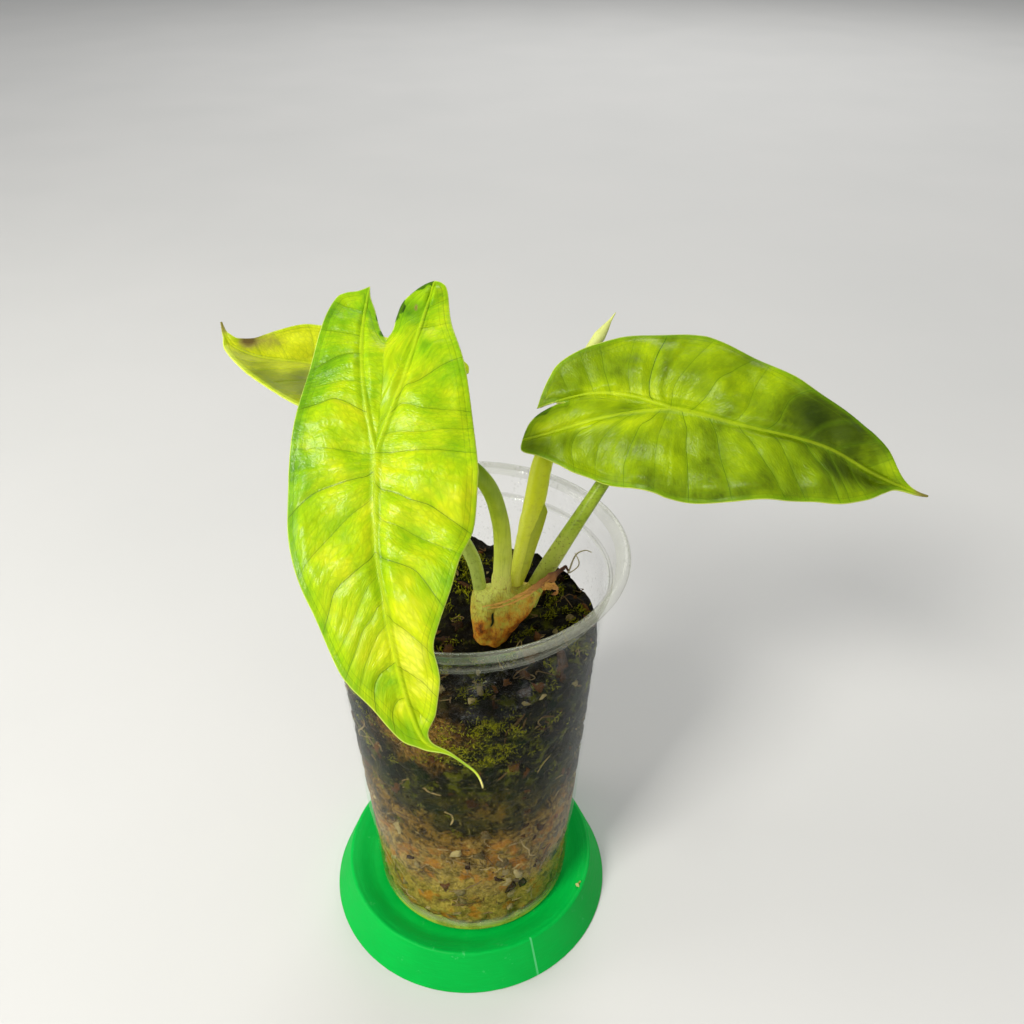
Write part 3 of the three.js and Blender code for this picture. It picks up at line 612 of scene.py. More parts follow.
def leaf_placer(leaf):
    """Gives a function that lays flat leaf places onto the bent leaf in space."""
    curve = Curve(leaf["spine"])
    back = curve.lengths[Curve.STEPS * leaf["joint"]]
    facing = unit(np.array(leaf["facing"], float))
    sinus_u, sinus_v = leaf["sinus"]
    hook_start = curve.total - back - HOOK_LENGTH

    def place(u, v, relief=0):
        along = np.clip((u + back) / curve.total, 0.001, 0.999)
        tangent = curve.tangent(along)
        centre = curve.at(along) + tangent * (u + back - along * curve.total)[:, None]
        across = unit(np.cross(facing, tangent))
        normal = np.cross(tangent, across)
        crease = np.where(u < 0, sinus_v * np.minimum(u / sinus_u, 1), 0)
        reach = np.abs(v - crease)
        ripple = leaf["wave"] * (reach / 20) ** 2 * np.sin(u * RIPPLE_TURN + np.where(v > 0, 0.6, 2.4))
        height = leaf["fold"] * reach - leaf["camber"] * reach**2 + ripple + relief
        aside = v - leaf["hook"] * np.clip((u - hook_start) / HOOK_LENGTH, 0, 1) ** 2
        return centre + across * aside[:, None] + normal * height[:, None]

    return place


def line_distance(places, line):
    """Distance from each flat place to a line, below zero on its tipward side."""
    start, step = line[:-1], np.diff(line, axis=0)
    offset = places[:, None] - start[None]
    share = np.clip((offset * step).sum(-1) / ((step**2).sum(-1) + 1e-9), 0, 1)
    away = offset - share[..., None] * step
    distance = np.hypot(away[..., 0], away[..., 1])
    best = distance.argmin(1)
    rows = np.arange(len(places))
    cross = step[best, 0] * offset[rows, best, 1] - step[best, 1] * offset[rows, best, 0]
    return distance[rows, best] * np.where(cross > 0, 1, -1)


def stretched_line(points, stretch):
    """A smooth flat line through points, lengthened by stretch at both ends."""
    line = Curve(points, open_ends=False).at(np.linspace(0, 1, 40))
    start = line[0] - stretch * unit(line[1] - line[0])
    end = line[-1] + stretch * unit(line[-1] - line[-2])
    return np.vstack([start, line, end])


def vein_values(places, half):
    """How each flat place of a half lies to its side veins: signed distance, depth and order."""
    lines = [stretched_line(points, VEIN_STRETCH) for _, points in half["veins"]]
    signed = np.stack([line_distance(places, line) for line in lines], axis=1)
    passed = (signed < 0).sum(1)
    distance = np.abs(signed)
    depth = np.array([depth for depth, _ in half["veins"]])[distance.argmin(1)]
    rows = np.arange(len(places))
    before = np.where(passed > 0, distance[rows, np.maximum(passed - 1, 0)], FAR_VEIN)
    after = np.where(passed < len(lines), distance[rows, np.minimum(passed, len(lines) - 1)], FAR_VEIN)
    order = passed + before / (before + after + 1e-6)
    return distance.min(1) * np.where(passed % 2, 1, -1), depth, order


def leaf_half(leaf, half, side):
    """Grids of flat places and faces for one half, with its named values."""
    tip = half["front"][-1][0]
    inner, lobe, front = [Curve(half[part], open_ends=False) for part in ("inner", "lobe", "front")]
    lobe_u, lobe_v = half["lobe"][0]
    even = np.linspace(0, 1, COLUMNS + 1)
    columns = even - COLUMN_CROWDING * np.sin(2 * np.pi * even)

    def lobe_vein(f):
        return np.stack([lobe_u * f, lobe_v * f + half["bow"] * np.sin(np.pi * f)], axis=-1)

    def swept(f, sweep):
        return np.minimum(1, f + sweep * np.sin(np.pi * f))

    def inner_edge(f):
        crease = np.stack([leaf["sinus"][0] * 2 * f, side * leaf["sinus"][1] * 2 * f], axis=-1)
        return np.where(f[:, None] <= 0.5, crease, inner.at(2 * f - 1))

    rows = np.linspace(0, 1, FRONT_ROWS + 1)
    lobe_rows = np.linspace(0, 1, LOBE_ROWS + 1)
    inner_columns = np.linspace(0, 1, INNER_COLUMNS + 1)
    midrib = np.stack([tip * rows, 0 * rows], axis=-1)
    patches = [
        (midrib, front.at(swept(rows, FRONT_SWEEP)), columns, 2, rows, 1),
        (lobe_vein(lobe_rows), lobe.at(1 - swept(lobe_rows, LOBE_SWEEP)), columns, 0, lobe_rows, -1),
        (lobe_vein(lobe_rows), inner_edge(lobe_rows), inner_columns, 0, lobe_rows, 1),
    ]
    places, faces, count = [], [], 0
    for start, end, t, bow, f, facing in patches:
        grid = start[:, None] + (end - start)[:, None] * t[None, :, None]
        grid[..., 0] -= bow * 4 * (t * (1 - t))[None] * np.sin(np.pi * f)[:, None]
        places.append(grid.reshape(-1, 2))
        faces.append(grid_faces(len(f), len(t))[:, ::facing] + count)
        count += len(f) * len(t)
    places = np.vstack(places)
    is_inner = np.arange(count) >= count - len(lobe_rows) * len(inner_columns)
    margin = np.vstack([inner.at(np.linspace(0, 1, 60)), lobe.at(np.linspace(0, 1, 120)),
                        front.at(np.linspace(0, 1, 240))])
    edge = np.abs(line_distance(places, margin))
    main = np.abs(line_distance(places, np.array([(0, 0), (tip, 0)])))
    back_vein = np.abs(line_distance(places, lobe_vein(np.linspace(0, 1, 60))))
    main_width = 0.25 + 0.5 * np.clip(1 - places[:, 0] / tip, 0, 1)
    back_width = 0.2 + 0.36 * np.clip(1 - places[:, 0] / lobe_u, 0, 1)
    rib = np.minimum(main / main_width, back_vein / back_width)
    vein, depth, order = vein_values(places, half)
    vein[is_inner], depth[is_inner] = 4 + 0 * vein[is_inner], 0.5
    along = np.minimum(main, back_vein)
    past_sinus = np.clip((leaf["sinus"][0] - places[:, 0]) / 1.5, 0, 1)
    values = {"vein": vein, "depth": depth, "order": order, "edge": edge, "rib": rib, "along": along,
              "inner": is_inner * past_sinus}
    places[:, 1] *= side
    return places, np.vstack(faces), values


def leaf_relief(leaf, places, values):
    """Quilted flesh between sunken side veins, slow billows, a channelled midrib and a flat rim."""
    distance, edge, rib = np.abs(values["vein"]), values["edge"], values["rib"]
    swell = PILLOW * leaf["quilt"] * values["depth"] * (1 - (1 - np.minimum(distance / PILLOW_WIDTH, 1)) ** 2)
    billow = leaf["billow"] * noise(np.column_stack([places, 0 * distance]), 11, 2)
    inside = np.clip((edge - 0.6) / 3.5, 0, 1)
    inside = inside * inside * (3 - 2 * inside)
    by_rib = np.clip((rib - 0.6) / 4, 0, 1)
    cut = VEIN_CUT * bell(distance, 0.35)
    cord = leaf["cord"] * bell(rib, 0.7)
    cord -= 0.6 * leaf["cord"] * bell(rib - 1.9, 0.9)
    rim = 0.08 * bell(edge - 1.4, 0.4)
    cloth = np.stack([values["order"] * 3, values["along"] * 0.35, 0 * distance], axis=1)
    crumple = CRUMPLE * noise(cloth, 1, 3) * np.clip(distance / 1.5, 0, 1)
    flesh = (swell + billow - cut + crumple) * inside * by_rib
    return flesh + cord * np.clip(edge / 1.5, 0, 1) - rim - 0.2 * inside


def soft_spots(places, spots):
    """Sum of soft oval spots, each as u, v, its half sizes and its strength."""
    total = np.zeros(len(places))
    for u, v, long, wide, strength in spots:
        total += strength * bell(places[:, 0] - u, long) * bell(places[:, 1] - v, wide)
    return total


def leaf_tone(leaf, places, values, random):
    """How pale each place is: the leaf's own tone, its patches and a tint for each panel."""
    tone = leaf["tone"] + soft_spots(places, leaf["patches"])
    for start, end, side, width, paler in leaf["rims"]:
        within = (places[:, 0] - start) * (end - places[:, 0]) / 12
        near = np.clip(1 - values["edge"] / width, 0, 1) * (places[:, 1] * side > -0.5)
        tone += paler * near * np.clip(within, 0, 1)
    ragged = 0.8 + 1.7 * noise(np.column_stack([places, 0 * tone]), 3, 2)
    tone -= leaf["sinus_stain"] * np.clip(ragged - values["edge"], 0, 1) * values["inner"]
    tint = leaf["streaks"] * random.uniform(-0.16, 0.16, 40)
    panel = np.floor(values["order"]).astype(int) + 20 * (places[:, 1] > 0)
    return tone + tint[panel]


def vertex_normals(points, quads):
    """Averaged normals of a surface of quads."""
    across = points[quads[:, 2]] - points[quads[:, 0]]
    other = points[quads[:, 3]] - points[quads[:, 1]]
    face = np.cross(across, other)
    total = np.zeros_like(points)
    for corner in range(4):
        np.add.at(total, quads[:, corner], face)
    return total / (np.linalg.norm(total, axis=1, keepdims=True) + 1e-12)


def blade_shape(leaf, random):
    """A whole blade: both halves welded, bent into space and given their thickness."""
    halves = [leaf_half(leaf, leaf["right"], 1), leaf_half(leaf, leaf["left"], -1)]
    places = np.vstack([half[0] for half in halves])
    values = {key: np.concatenate([half[2][key] for half in halves]) for key in halves[0][2]}
    right, left = halves[0][1], halves[1][1][:, ::-1] + len(halves[0][0])
    _, first, welded = np.unique(np.round(places, 3), axis=0, return_index=True, return_inverse=True)
    places = places[first]
    values = {key: part[first] for key, part in values.items()}
    quads = welded.ravel()[np.vstack([right, left])]
    place = leaf_placer(leaf)
    middle = place(places[:, 0], places[:, 1], leaf_relief(leaf, places, values))
    normal = vertex_normals(middle, quads)
    if (normal[:, 2] < 0).mean() > 0.5:
        normal = -normal
    rounded = np.sqrt(1 - (1 - np.minimum(values["edge"] / 0.7, 1)) ** 2)
    half_thick = BLADE_THICKNESS / 2 * (0.35 + 0.65 * rounded)
    tip = leaf["right"]["front"][-1][0]
    taper = np.clip(1 - np.abs(places[:, 0]) / tip, 0, 1) * np.clip(values["edge"] / 2, 0, 1)
    rib = RIB_DEPTH * taper * bell(values["rib"], 1)
    side_rib = 0.3 * taper * bell(values["vein"], 0.5)
    top = middle + normal * half_thick[:, None]
    bottom = middle - normal * (half_thick + rib + side_rib)[:, None]
    count = len(places)
    faces, edges = [], {}
    for quad in quads.tolist():
        ring = [k for k, after in zip(quad, quad[1:] + quad[:1]) if k != after]
        if len(set(ring)) < 3:
            continue
        faces += [ring, [k + count for k in reversed(ring)]]
        for pair in zip(ring, ring[1:] + ring[:1]):
            edges[pair] = True
    for a, b in edges:
        if (b, a) not in edges:
            faces.append([b, a, a + count, b + count])
    layers = {key: np.tile(part, 2) for key, part in values.items()}
    layers["brown"] = np.tile(soft_spots(places, leaf["brown"]), 2)
    layers["tone"] = np.tile(leaf_tone(leaf, places, values, random), 2)
    layers["under"] = np.repeat([0, 1], count)
    return Shape().add(np.vstack([top, bottom]), faces, **layers)


LIME_TONES = [(0, 20, 46, 3), (0.24, 72, 126, 1), (0.42, 122, 170, 1),
              (0.6, 164, 194, 2), (0.78, 196, 206, 14), (1, 226, 226, 80)]
# Leaf b's tones are darker than leaf a's: partly its greener colour, partly painted shade, as that blade
# turns from the light
GREEN_TONES = [(0, 42, 58, 2), (0.24, 66, 84, 1), (0.42, 110, 134, 1),
               (0.6, 142, 166, 1), (0.78, 170, 188, 6), (1, 206, 214, 60)]
OLIVE_TONES = [(0, 60, 62, 1), (0.24, 98, 106, 1), (0.42, 128, 138, 3),
               (0.6, 176, 184, 12), (0.78, 200, 208, 28), (1, 222, 226, 80)]


def leaf_look(name, leaf, tones):
    """Satin lime leaf: panels of tone, netted veinlets, thin dark side veins and pale cords with painted
    shade beside them, and a pale rim.
    """
    look = Look(name, Specular_IOR_Level=0.1, Coat_Weight=leaf["gloss"], Coat_Roughness=0.26,
                Subsurface_Weight=0.15, Subsurface_Radius=(0.9, 1, 0.15))
    tone, order, along = look.layer("tone"), look.layer("order"), look.layer("along")
    edge, rib, depth = look.layer("edge"), look.layer("rib"), look.layer("depth")
    vein, under = abs(look.layer("vein")), look.layer("under")
    fine, streaks = look.noise(0.5, 2), look.noise(1, 2, 0.6, look.combine(order * 7, along * 0.25))
    mottle, blush = look.noise(8, 3), look.noise(22, 2)
    spread = tone + (streaks - 0.5) * leaf["streaks"] + (mottle - 0.5) * 0.6 + (blush - 0.5) * 0.45
    look.color = look.ramp(spread, *tones)
    net = look.step(look.cells(1, look.combine(order * 7, along * 0.6), "DISTANCE_TO_EDGE"), 0.03, 0.24)
    look.paint(look.step(net, 0, 1, 0.18, 0) * look.step(tone, 0.14, 0.4), 104, 138, 2)
    # Painted shade in a soft band beside each sunken side vein, then the thin dark vein itself
    look.paint(depth * look.step(vein, 0.15, 1.3, 0.2, 0), 104, 138, 4)
    look.paint(depth * look.step(vein, 0.03, 0.17, 0.55, 0), 60, 88, 1)
    # The margin: a green band, two thin lines along it and a pale rim
    look.paint(look.step(edge, 0.5, 1.6, 0.35, 0), 108, 156, 4)
    look.paint(look.step(abs(edge - 1.5), 0.05, 0.18, 0.35, 0), 76, 112, 3)
    look.paint(look.step(abs(edge - 2.7), 0.05, 0.16, 0.25, 0), 84, 118, 3)
    look.paint(look.step(edge, 0.12, 0.32, 0.55, 0) * look.step(tone, 0.1, 0.3), 212, 220, 104)
    look.paint(look.step(tone, 1, 1.4), 226, 208, 140)
    # The main ribs: painted shade on each side and a pale cord
    look.paint(look.step(abs(rib - 1.5), 0.1, 1.1, 0.18, 0), 100, 140, 2)
    look.paint(look.step(rib, 0.3, 1.1, 0.3, 0), 182, 204, 30)
    dried = look.layer("brown") + (look.noise(1.5, 4) - 0.5) * 0.5
    brown = look.step(dried, 0.1, 0.9)
    look.paint(brown * 0.9, look.mix(look.step(dried, 0.7, 1.4), shade(128, 118, 56), shade(84, 58, 38)))
    look.paint(under * 0.35, 142, 166, 70)
    roughness = look.step(fine + under * 0.8 + brown, 0.2, 1.2, 0.36, 0.66)
    ridges = look.noise(1, 2, 0.5, look.combine(order * 18, along * 1.2))
    return look.finish(roughness, net * 0.5 + ridges * 1.2, 0.12, 0.5)


def blades():
    random = np.random.default_rng(21)
    for letter, leaf, tones, slot in (("a", BLADE_A, LIME_TONES, "leaf_lime"),
                                      ("b", BLADE_B, GREEN_TONES, "leaf_lime"),
                                      ("c", BLADE_C, OLIVE_TONES, "leaf_yellow")):
        look = leaf_look(f"leaf_{letter}_skin", leaf, tones)
        add_piece(f"leaf_{letter}", blade_shape(leaf, random), look, slot, f"blade_{letter}")


# Stalks
STALK_A = {
    "route": [(10.6, -5.2, 130.5), (11.3, -4.6, 140), (11.6, -4.8, 150), (10.6, -6, 162), (7, -9.6, 175.4),
              (-0.9, -13.6, 186.4), (-9.6, -16.6, 191)],
    "radii": [2.4, 2.6, 2.4, 2.3, 2.1, 1.9, 1.7],
}
STALK_B = {
    "route": [(19.2, -5, 130.5), (21, -4.3, 135.4), (24, -2.5, 140.2), (34.7, 4, 154.8), (44.4, 9.6, 167.6),
              (53, 13.4, 177.6)],
    "radii": [2.4, 2.6, 2.2, 1.9, 1.8, 1.6],
}
STALK_C = {
    "route": [(5, -3.4, 130.5), (4.8, -2, 136), (3, 2, 142.6), (-3.1, 9, 152.1), (-10.6, 21, 164),
              (-15.4, 32, 172)],
    "radii": [1.9, 2.1, 1.9, 1.7, 1.6, 1.5],
}
SHEATH = {
    "route": [(15.2, -2.4, 130.5), (15.6, -1.4, 135.6), (17, 1, 142.3), (19.2, 5, 149.4), (21.7, 9, 157.8),
              (23.6, 12.6, 166.1), (26.4, 16.5, 173.1)],
    "radii": [1.8, 2.1, 2.5, 3, 3.2, 3.1, 2.6],
}
NEW_LEAF = {
    "route": [(25.6, 15.4, 171.2), (29.4, 19.9, 179.6), (34, 24.7, 188.1), (38.6, 29.3, 195.1),
              (42.8, 32.6, 199.8), (46.4, 35.5, 203.8)],
    "radii": [1.4, 1.7, 1.9, 2.1, 2.2, 2.2, 2.1, 2, 1.8, 1.7, 1.6, 1.55, 1.6, 1.75, 1.15, 0.45, 0.12],
}


def stalk_look(name, low, middle, high, speckle, amount):
    """Smooth stalk: three colours from base to blade, fine streaks, rings and speckles."""
    look = Look(name, Specular_IOR_Level=0.15, Coat_Weight=0.12, Coat_Roughness=0.25,
                Subsurface_Weight=0.15, Subsurface_Radius=(1.2, 1.1, 0.4))
    streaks = look.noise(1, 4, 0.6, look.stretched(0.7, 0.7, 9))
    rise = look.step(look.axis("Z") + (look.noise(9) - 0.5) * 0.03, 0.128, 0.192)
    look.color = look.ramp(rise, (0, *low), (0.45, *middle), (1, *high))
    look.paint(look.step(streaks, 0.45, 0.8, 0, 0.45), *high)
    rings = look.noise(1, 4, 0.7, look.stretched(3, 3, 0.7))
    dashes = look.step(look.cells(0.8), 0.12, 0.36, 1, 0) * look.step(rings, 0.42, 0.54, 0, 0.8)
    blush = look.step(look.noise(4, 4, 0.65), 0.42, 0.62) * look.step(rings, 0.48, 0.66, 0, 0.7)
    look.paint(look.math("MINIMUM", dashes + blush, 1.0) * amount, *speckle)
    return look.finish(look.step(streaks, 0.2, 0.9, 0.36, 0.55), streaks + rings * 0.6, 0.14, 0.4)


def stalk_piece(name, stalk, leaf, look, node):
    """A stalk with faint ridges that turns under its blade and ends in its ribs."""
    seats = leaf_placer(leaf)(np.zeros(2), np.zeros(2), np.array([-5, -0.55]))

    def ridges(share, angle):
        flare = 0.25 * np.clip((share - 0.93) / 0.07, 0, 1) ** 2
        return 1 + 0.02 * np.sin(5 * angle + 3 * share) + 0.012 * np.sin(11 * angle) + flare

    points, faces = tube([*stalk["route"], *seats], stalk["radii"], 110, 28, ridges)
    points = points + 0.12 * unit(points - points.mean(0)) * noise(points, 7)[:, None]
    add_piece(name, Shape().add(points, faces), look, "stalk_skin", node)


RIBBON_COLUMNS = 13


def ribbon(route, widths, direction, steps, thickness, curl, ragged, seed):
    """A thin closed strip along a route, curled across its width and ragged at its edges."""
    curve = Curve(route)
    share = np.linspace(0, 1, steps + 1)
    tangent = curve.tangent(share)
    front = unit(np.cross(tangent, direction))
    side = unit(np.cross(front, tangent))
    tears = noise(np.stack([share * 40, 0 * share, 0 * share + seed], 1), 1.4, 2)
    wide = np.interp(share, np.linspace(0, 1, len(widths)), widths) * (1 + ragged * tears)
    across = np.linspace(-1, 1, RIBBON_COLUMNS)
    crumple = np.stack(np.broadcast_arrays(share[:, None] * 30, across[None] * 3, seed), -1)
    lift = curl * across[None] ** 2 * wide[:, None] + 0.25 * noise(crumple, 1.6)
    place = across[None] * wide[:, None]
    middle = curve.at(share)[:, None] + side[:, None] * place[..., None] + front[:, None] * lift[..., None]
    half_thick = thickness / 2 * np.sqrt(1 - 0.9 * across**2)[None, :, None] * front[:, None]
    rows = np.concatenate([middle + half_thick, (middle - half_thick)[:, ::-1]], axis=1)
    count = rows.shape[1]
    return rows.reshape(-1, 3), capped(steps + 1, count), np.repeat(share, count)


def rolled(turns_per_length):
    """A profile whose radius steps down at a seam that winds slowly round."""

    def profile(share, angle):
        place = (angle / (2 * np.pi) - turns_per_length * share) % 1
        return 0.93 + 0.1 * place

    return profile


LAP_SIDE = 5.9
LAP_WIDTH = 0.75
LAP_NOTCH = 0.95


def sheath_flap(share, angle):
    """The outer edge of the sheath: it laps over the roll and ends in a pointed notch."""
    away = (angle - LAP_SIDE + np.pi) % (2 * np.pi) - np.pi
    to_notch = np.clip((LAP_NOTCH - share) / 0.3, 0, 1)
    width = LAP_WIDTH * (0.3 + 0.7 * to_notch)
    lap = np.where(away > 0, bell(away, 0.22), bell(away, width))
    return 0.8 + 0.72 * lap * np.minimum(to_notch * 3, 1) * np.clip(share / 0.3, 0, 1)


def stalks():
    green, dark, tan = (112, 142, 12), (78, 74, 26), (150, 140, 50)
    looks = {}
    # Each look: its colours at the base, in the middle and at the blade, its freckles and their amount
    for name, *settings in (
        ("stalk_smooth", (230, 234, 112), (192, 208, 50), (104, 138, 8), dark, 0.12),
        ("stalk_back", (184, 198, 92), (140, 166, 38), (88, 116, 10), dark, 0.3),
        ("stalk_freckled", (186, 192, 78), (140, 162, 34), (112, 142, 12), dark, 0.9),
        ("sheath_skin", (232, 236, 92), (224, 230, 44), (196, 208, 30), tan, 0.25),
        # The lap is darker than the roll: partly its own colour, partly painted shade on the side that turns
        # from the light
        ("sheath_edge", (204, 210, 64), (162, 174, 26), (146, 160, 22), tan, 0.4),
        ("new_leaf_skin", (158, 176, 50), (160, 178, 58), (194, 200, 118), green, 0.3),
    ):
        looks[name] = stalk_look(name, *settings)
    stalk_piece("stalk_a_skin", STALK_A, BLADE_A, looks["stalk_smooth"], "stalk_a")
    stalk_piece("stalk_b_skin", STALK_B, BLADE_B, looks["stalk_freckled"], "stalk_b")
    stalk_piece("stalk_c_skin", STALK_C, BLADE_C, looks["stalk_back"], "stalk_c")
    points, faces = tube(SHEATH["route"], SHEATH["radii"], 90, 56, rolled(0.25))
    wrinkles = 0.12 * noise(points * (1, 1, 2.2), 2.6, 2)
    points = points + unit(points - points.mean(0)) * wrinkles[:, None]
    add_piece("sheath_roll", Shape().add(points, faces), looks["sheath_skin"], "stalk_skin", "sheath")
    lap_route = Curve(SHEATH["route"]).at(np.linspace(0.02, 0.68, 7))
    lap = tube(lap_route, [1.7, 2.1, 2.3, 2.6, 2.9, 3, 2.9], 90, 72, sheath_flap)
    add_piece("sheath_lap", Shape().add(*lap), looks["sheath_edge"], "stalk_skin")
    roll = tube(NEW_LEAF["route"], NEW_LEAF["radii"], 120, 64, rolled(1.2))
    add_piece("new_leaf_roll", Shape().add(*roll), looks["new_leaf_skin"], "new_leaf_skin", "new_leaf")


# Corm
CORM_RINGS = [
    ((7, -6, 97), 2.4, 2.4), ((7, -6, 99), 4.6, 4.6), ((7, -6, 104), 6.6, 6.4), ((7.1, -6, 111), 6.4, 6.1),
    ((7.4, -5.8, 118), 4.9, 4.9), ((9.1, -5.6, 123), 6.4, 4.7), ((10.7, -5.2, 128), 7.9, 4.7),
    ((12.3, -4.6, 132.5), 9.5, 4.8), ((12.8, -4.3, 134.6), 10, 4.4), ((12.9, -4.2, 135.4), 9, 3.6),
]
ROOT_START = (7, -6, 103)
ROOT_ENDS = [(-24, -20, 62), (28, -22, 54), (33, 8, 78), (-14, 25, 48), (6, -29, 34)]
LEFT_COLUMN = [(6.4, -7.4, 119), (5.6, -6.6, 125), (4.9, -5, 130), (4.8, -3, 134.6)]
RIGHT_COLUMN = [(9.6, -7, 119), (12.4, -7, 124.6), (16.6, -6.4, 130.4), (21, -4.6, 136)]
SLIT = (8, 127.8)
SLIT_HALF_LENGTH = 2.8
CORM_LEAN = 0.32
NECK = 118
VOXEL = 0.4
SMOOTHING_ROUNDS = 5


def corm_body():
    """Swollen foot with its rings, widened into collars round the stalks, and its roots."""
    shape = Shape()
    rings, sides = 90, 64
    table = np.array([(*centre, wide, deep) for centre, wide, deep in CORM_RINGS])
    stations = Curve(table).at(np.linspace(0, 1, rings))
    angle = full_turn(sides)
    wide, deep = stations[:, 3:4], stations[:, 4:5]
    offset = np.stack([wide * np.cos(angle), deep * np.sin(angle), 0 * wide * angle], -1)
    shape.add(stations[:, None, :3] + offset, capped(rings, sides))
    collar = Curve(STALK_A["route"]).at(np.linspace(0, 0.2, 6))
    for route, radii in ((LEFT_COLUMN, [3.2, 3.3, 2.9, 2.1]), (RIGHT_COLUMN, [2.6, 3.3, 3.5, 2.7]),
                         (collar, [3.2, 3.1, 2.7, 2.2])):
        shape.add(*tube(route, radii, 30, 32))
    start = np.array(ROOT_START, float)
    for index, end in enumerate(ROOT_ENDS):
        bend = 1.8 if index % 2 else -1.8
        shoulder = (*(start + 0.45 * (np.array(end) - start))[:2], start[2] - 3)
        knee = (0.86 * end[0], 0.86 * end[1] + bend, (start[2] + end[2]) / 2)
        shape.add(*tube([start, shoulder, knee, end], [1.3, 1.1, 0.8], 40, 12, reference=(0.3, 1, 0.1)))
    return shape


def melted(shape):
    """Joins the parts of a shape into one skin and smooths it."""
    mesh = bpy.data.meshes.new("melting")
    mesh.from_pydata((np.vstack(shape.points) * MM).tolist(), [], shape.faces)
    holder = bpy.data.objects.new("melting", mesh)
    bpy.context.scene.collection.objects.link(holder)
    remesh = holder.modifiers.new("join", "REMESH")
    remesh.mode, remesh.voxel_size = "VOXEL", VOXEL * MM
    smooth = holder.modifiers.new("soften", "SMOOTH")
    smooth.factor, smooth.iterations = 0.5, SMOOTHING_ROUNDS
    skin = holder.evaluated_get(bpy.context.evaluated_depsgraph_get()).to_mesh()
    points = np.zeros(len(skin.vertices) * 3)
    skin.vertices.foreach_get("co", points)
    faces = [list(face.vertices) for face in skin.polygons]
    bpy.data.objects.remove(holder)
    return points.reshape(-1, 3) / MM, faces


def corm_look():
    """Yellow-green above, orange and brown at the foot and the right, with fibres, scabs, and painted shade
    in the groove and the slit.
    """
    look = Look("corm", Specular_IOR_Level=0.3, Subsurface_Weight=0.12,
                Subsurface_Radius=(1.4, 1, 0.4))
    blotch, fine = look.noise(4, 5, 0.65), look.noise(0.7, 3)
    right = look.step(look.axis("X"), 0.01, 0.02)
    rise = look.step(look.axis("Z"), 0.12, 0.139)
    youth = rise * 0.85 + right * -0.34 + (blotch - 0.5) * 1.9 + 0.19
    look.color = look.ramp(youth, (0, 104, 56, 8), (0.2, 196, 112, 20),
                           (0.4, 216, 164, 48), (0.6, 208, 192, 66),
                           (0.8, 212, 212, 84), (1, 226, 230, 106))
    fibres = look.noise(1, 5, 0.7, look.stretched(0.5, 0.5, 4))
    scabs = look.step(look.noise(2.4, 5, 0.7), 0.56, 0.66)
    look.paint(look.step(fibres, 0.48, 0.7, 0, 0.6), 150, 100, 40)
    look.paint(scabs * 0.6, 170, 108, 40)
    # Painted shade: darker in the sunken groove and darkest in the slit
    look.paint(look.layer("groove") * 0.4, 96, 92, 24)
    look.paint(look.step(look.layer("slit"), 0.3, 0.6), 22, 44, 10)
    return look.finish(look.step(fine, 0.3, 0.8, 0.45, 0.75), fibres + fine * 0.5 + scabs * 0.7, 0.4, 0.8)


def corm():
    points, faces = melted(corm_body())
    x, y, z = points.T
    axis = np.stack([7 + CORM_LEAN * np.clip(z - NECK, 0, 18), np.full(len(points), -5.4), z], 1)
    front = y < -6
    wrinkles = 0.2 * noise(points * (1.2, 1.2, 0.5), 1.7, 2) + 0.3 * noise(points, 4.4)
    wrinkles *= np.clip((z - 108) / 8, 0, 1)
    across = x - SLIT[0] - 0.3 * np.sin(z * 1.1) - 0.16 * (z - SLIT[1])
    up = (z - SLIT[1]) / SLIT_HALF_LENGTH
    slit = np.exp(-((across / 0.42) ** 2) - up**4) * front
    groove = np.exp(-((across / 0.9) ** 2) - ((up + 0.4) / 2.6) ** 4) * front
    points = points + unit(points - axis) * (wrinkles - 0.55 * groove - 0.7 * slit)[:, None]
    shape = Shape().add(points, faces, slit=slit, groove=groove)
    add_piece("corm_skin", shape, corm_look(), "corm_skin", "corm")


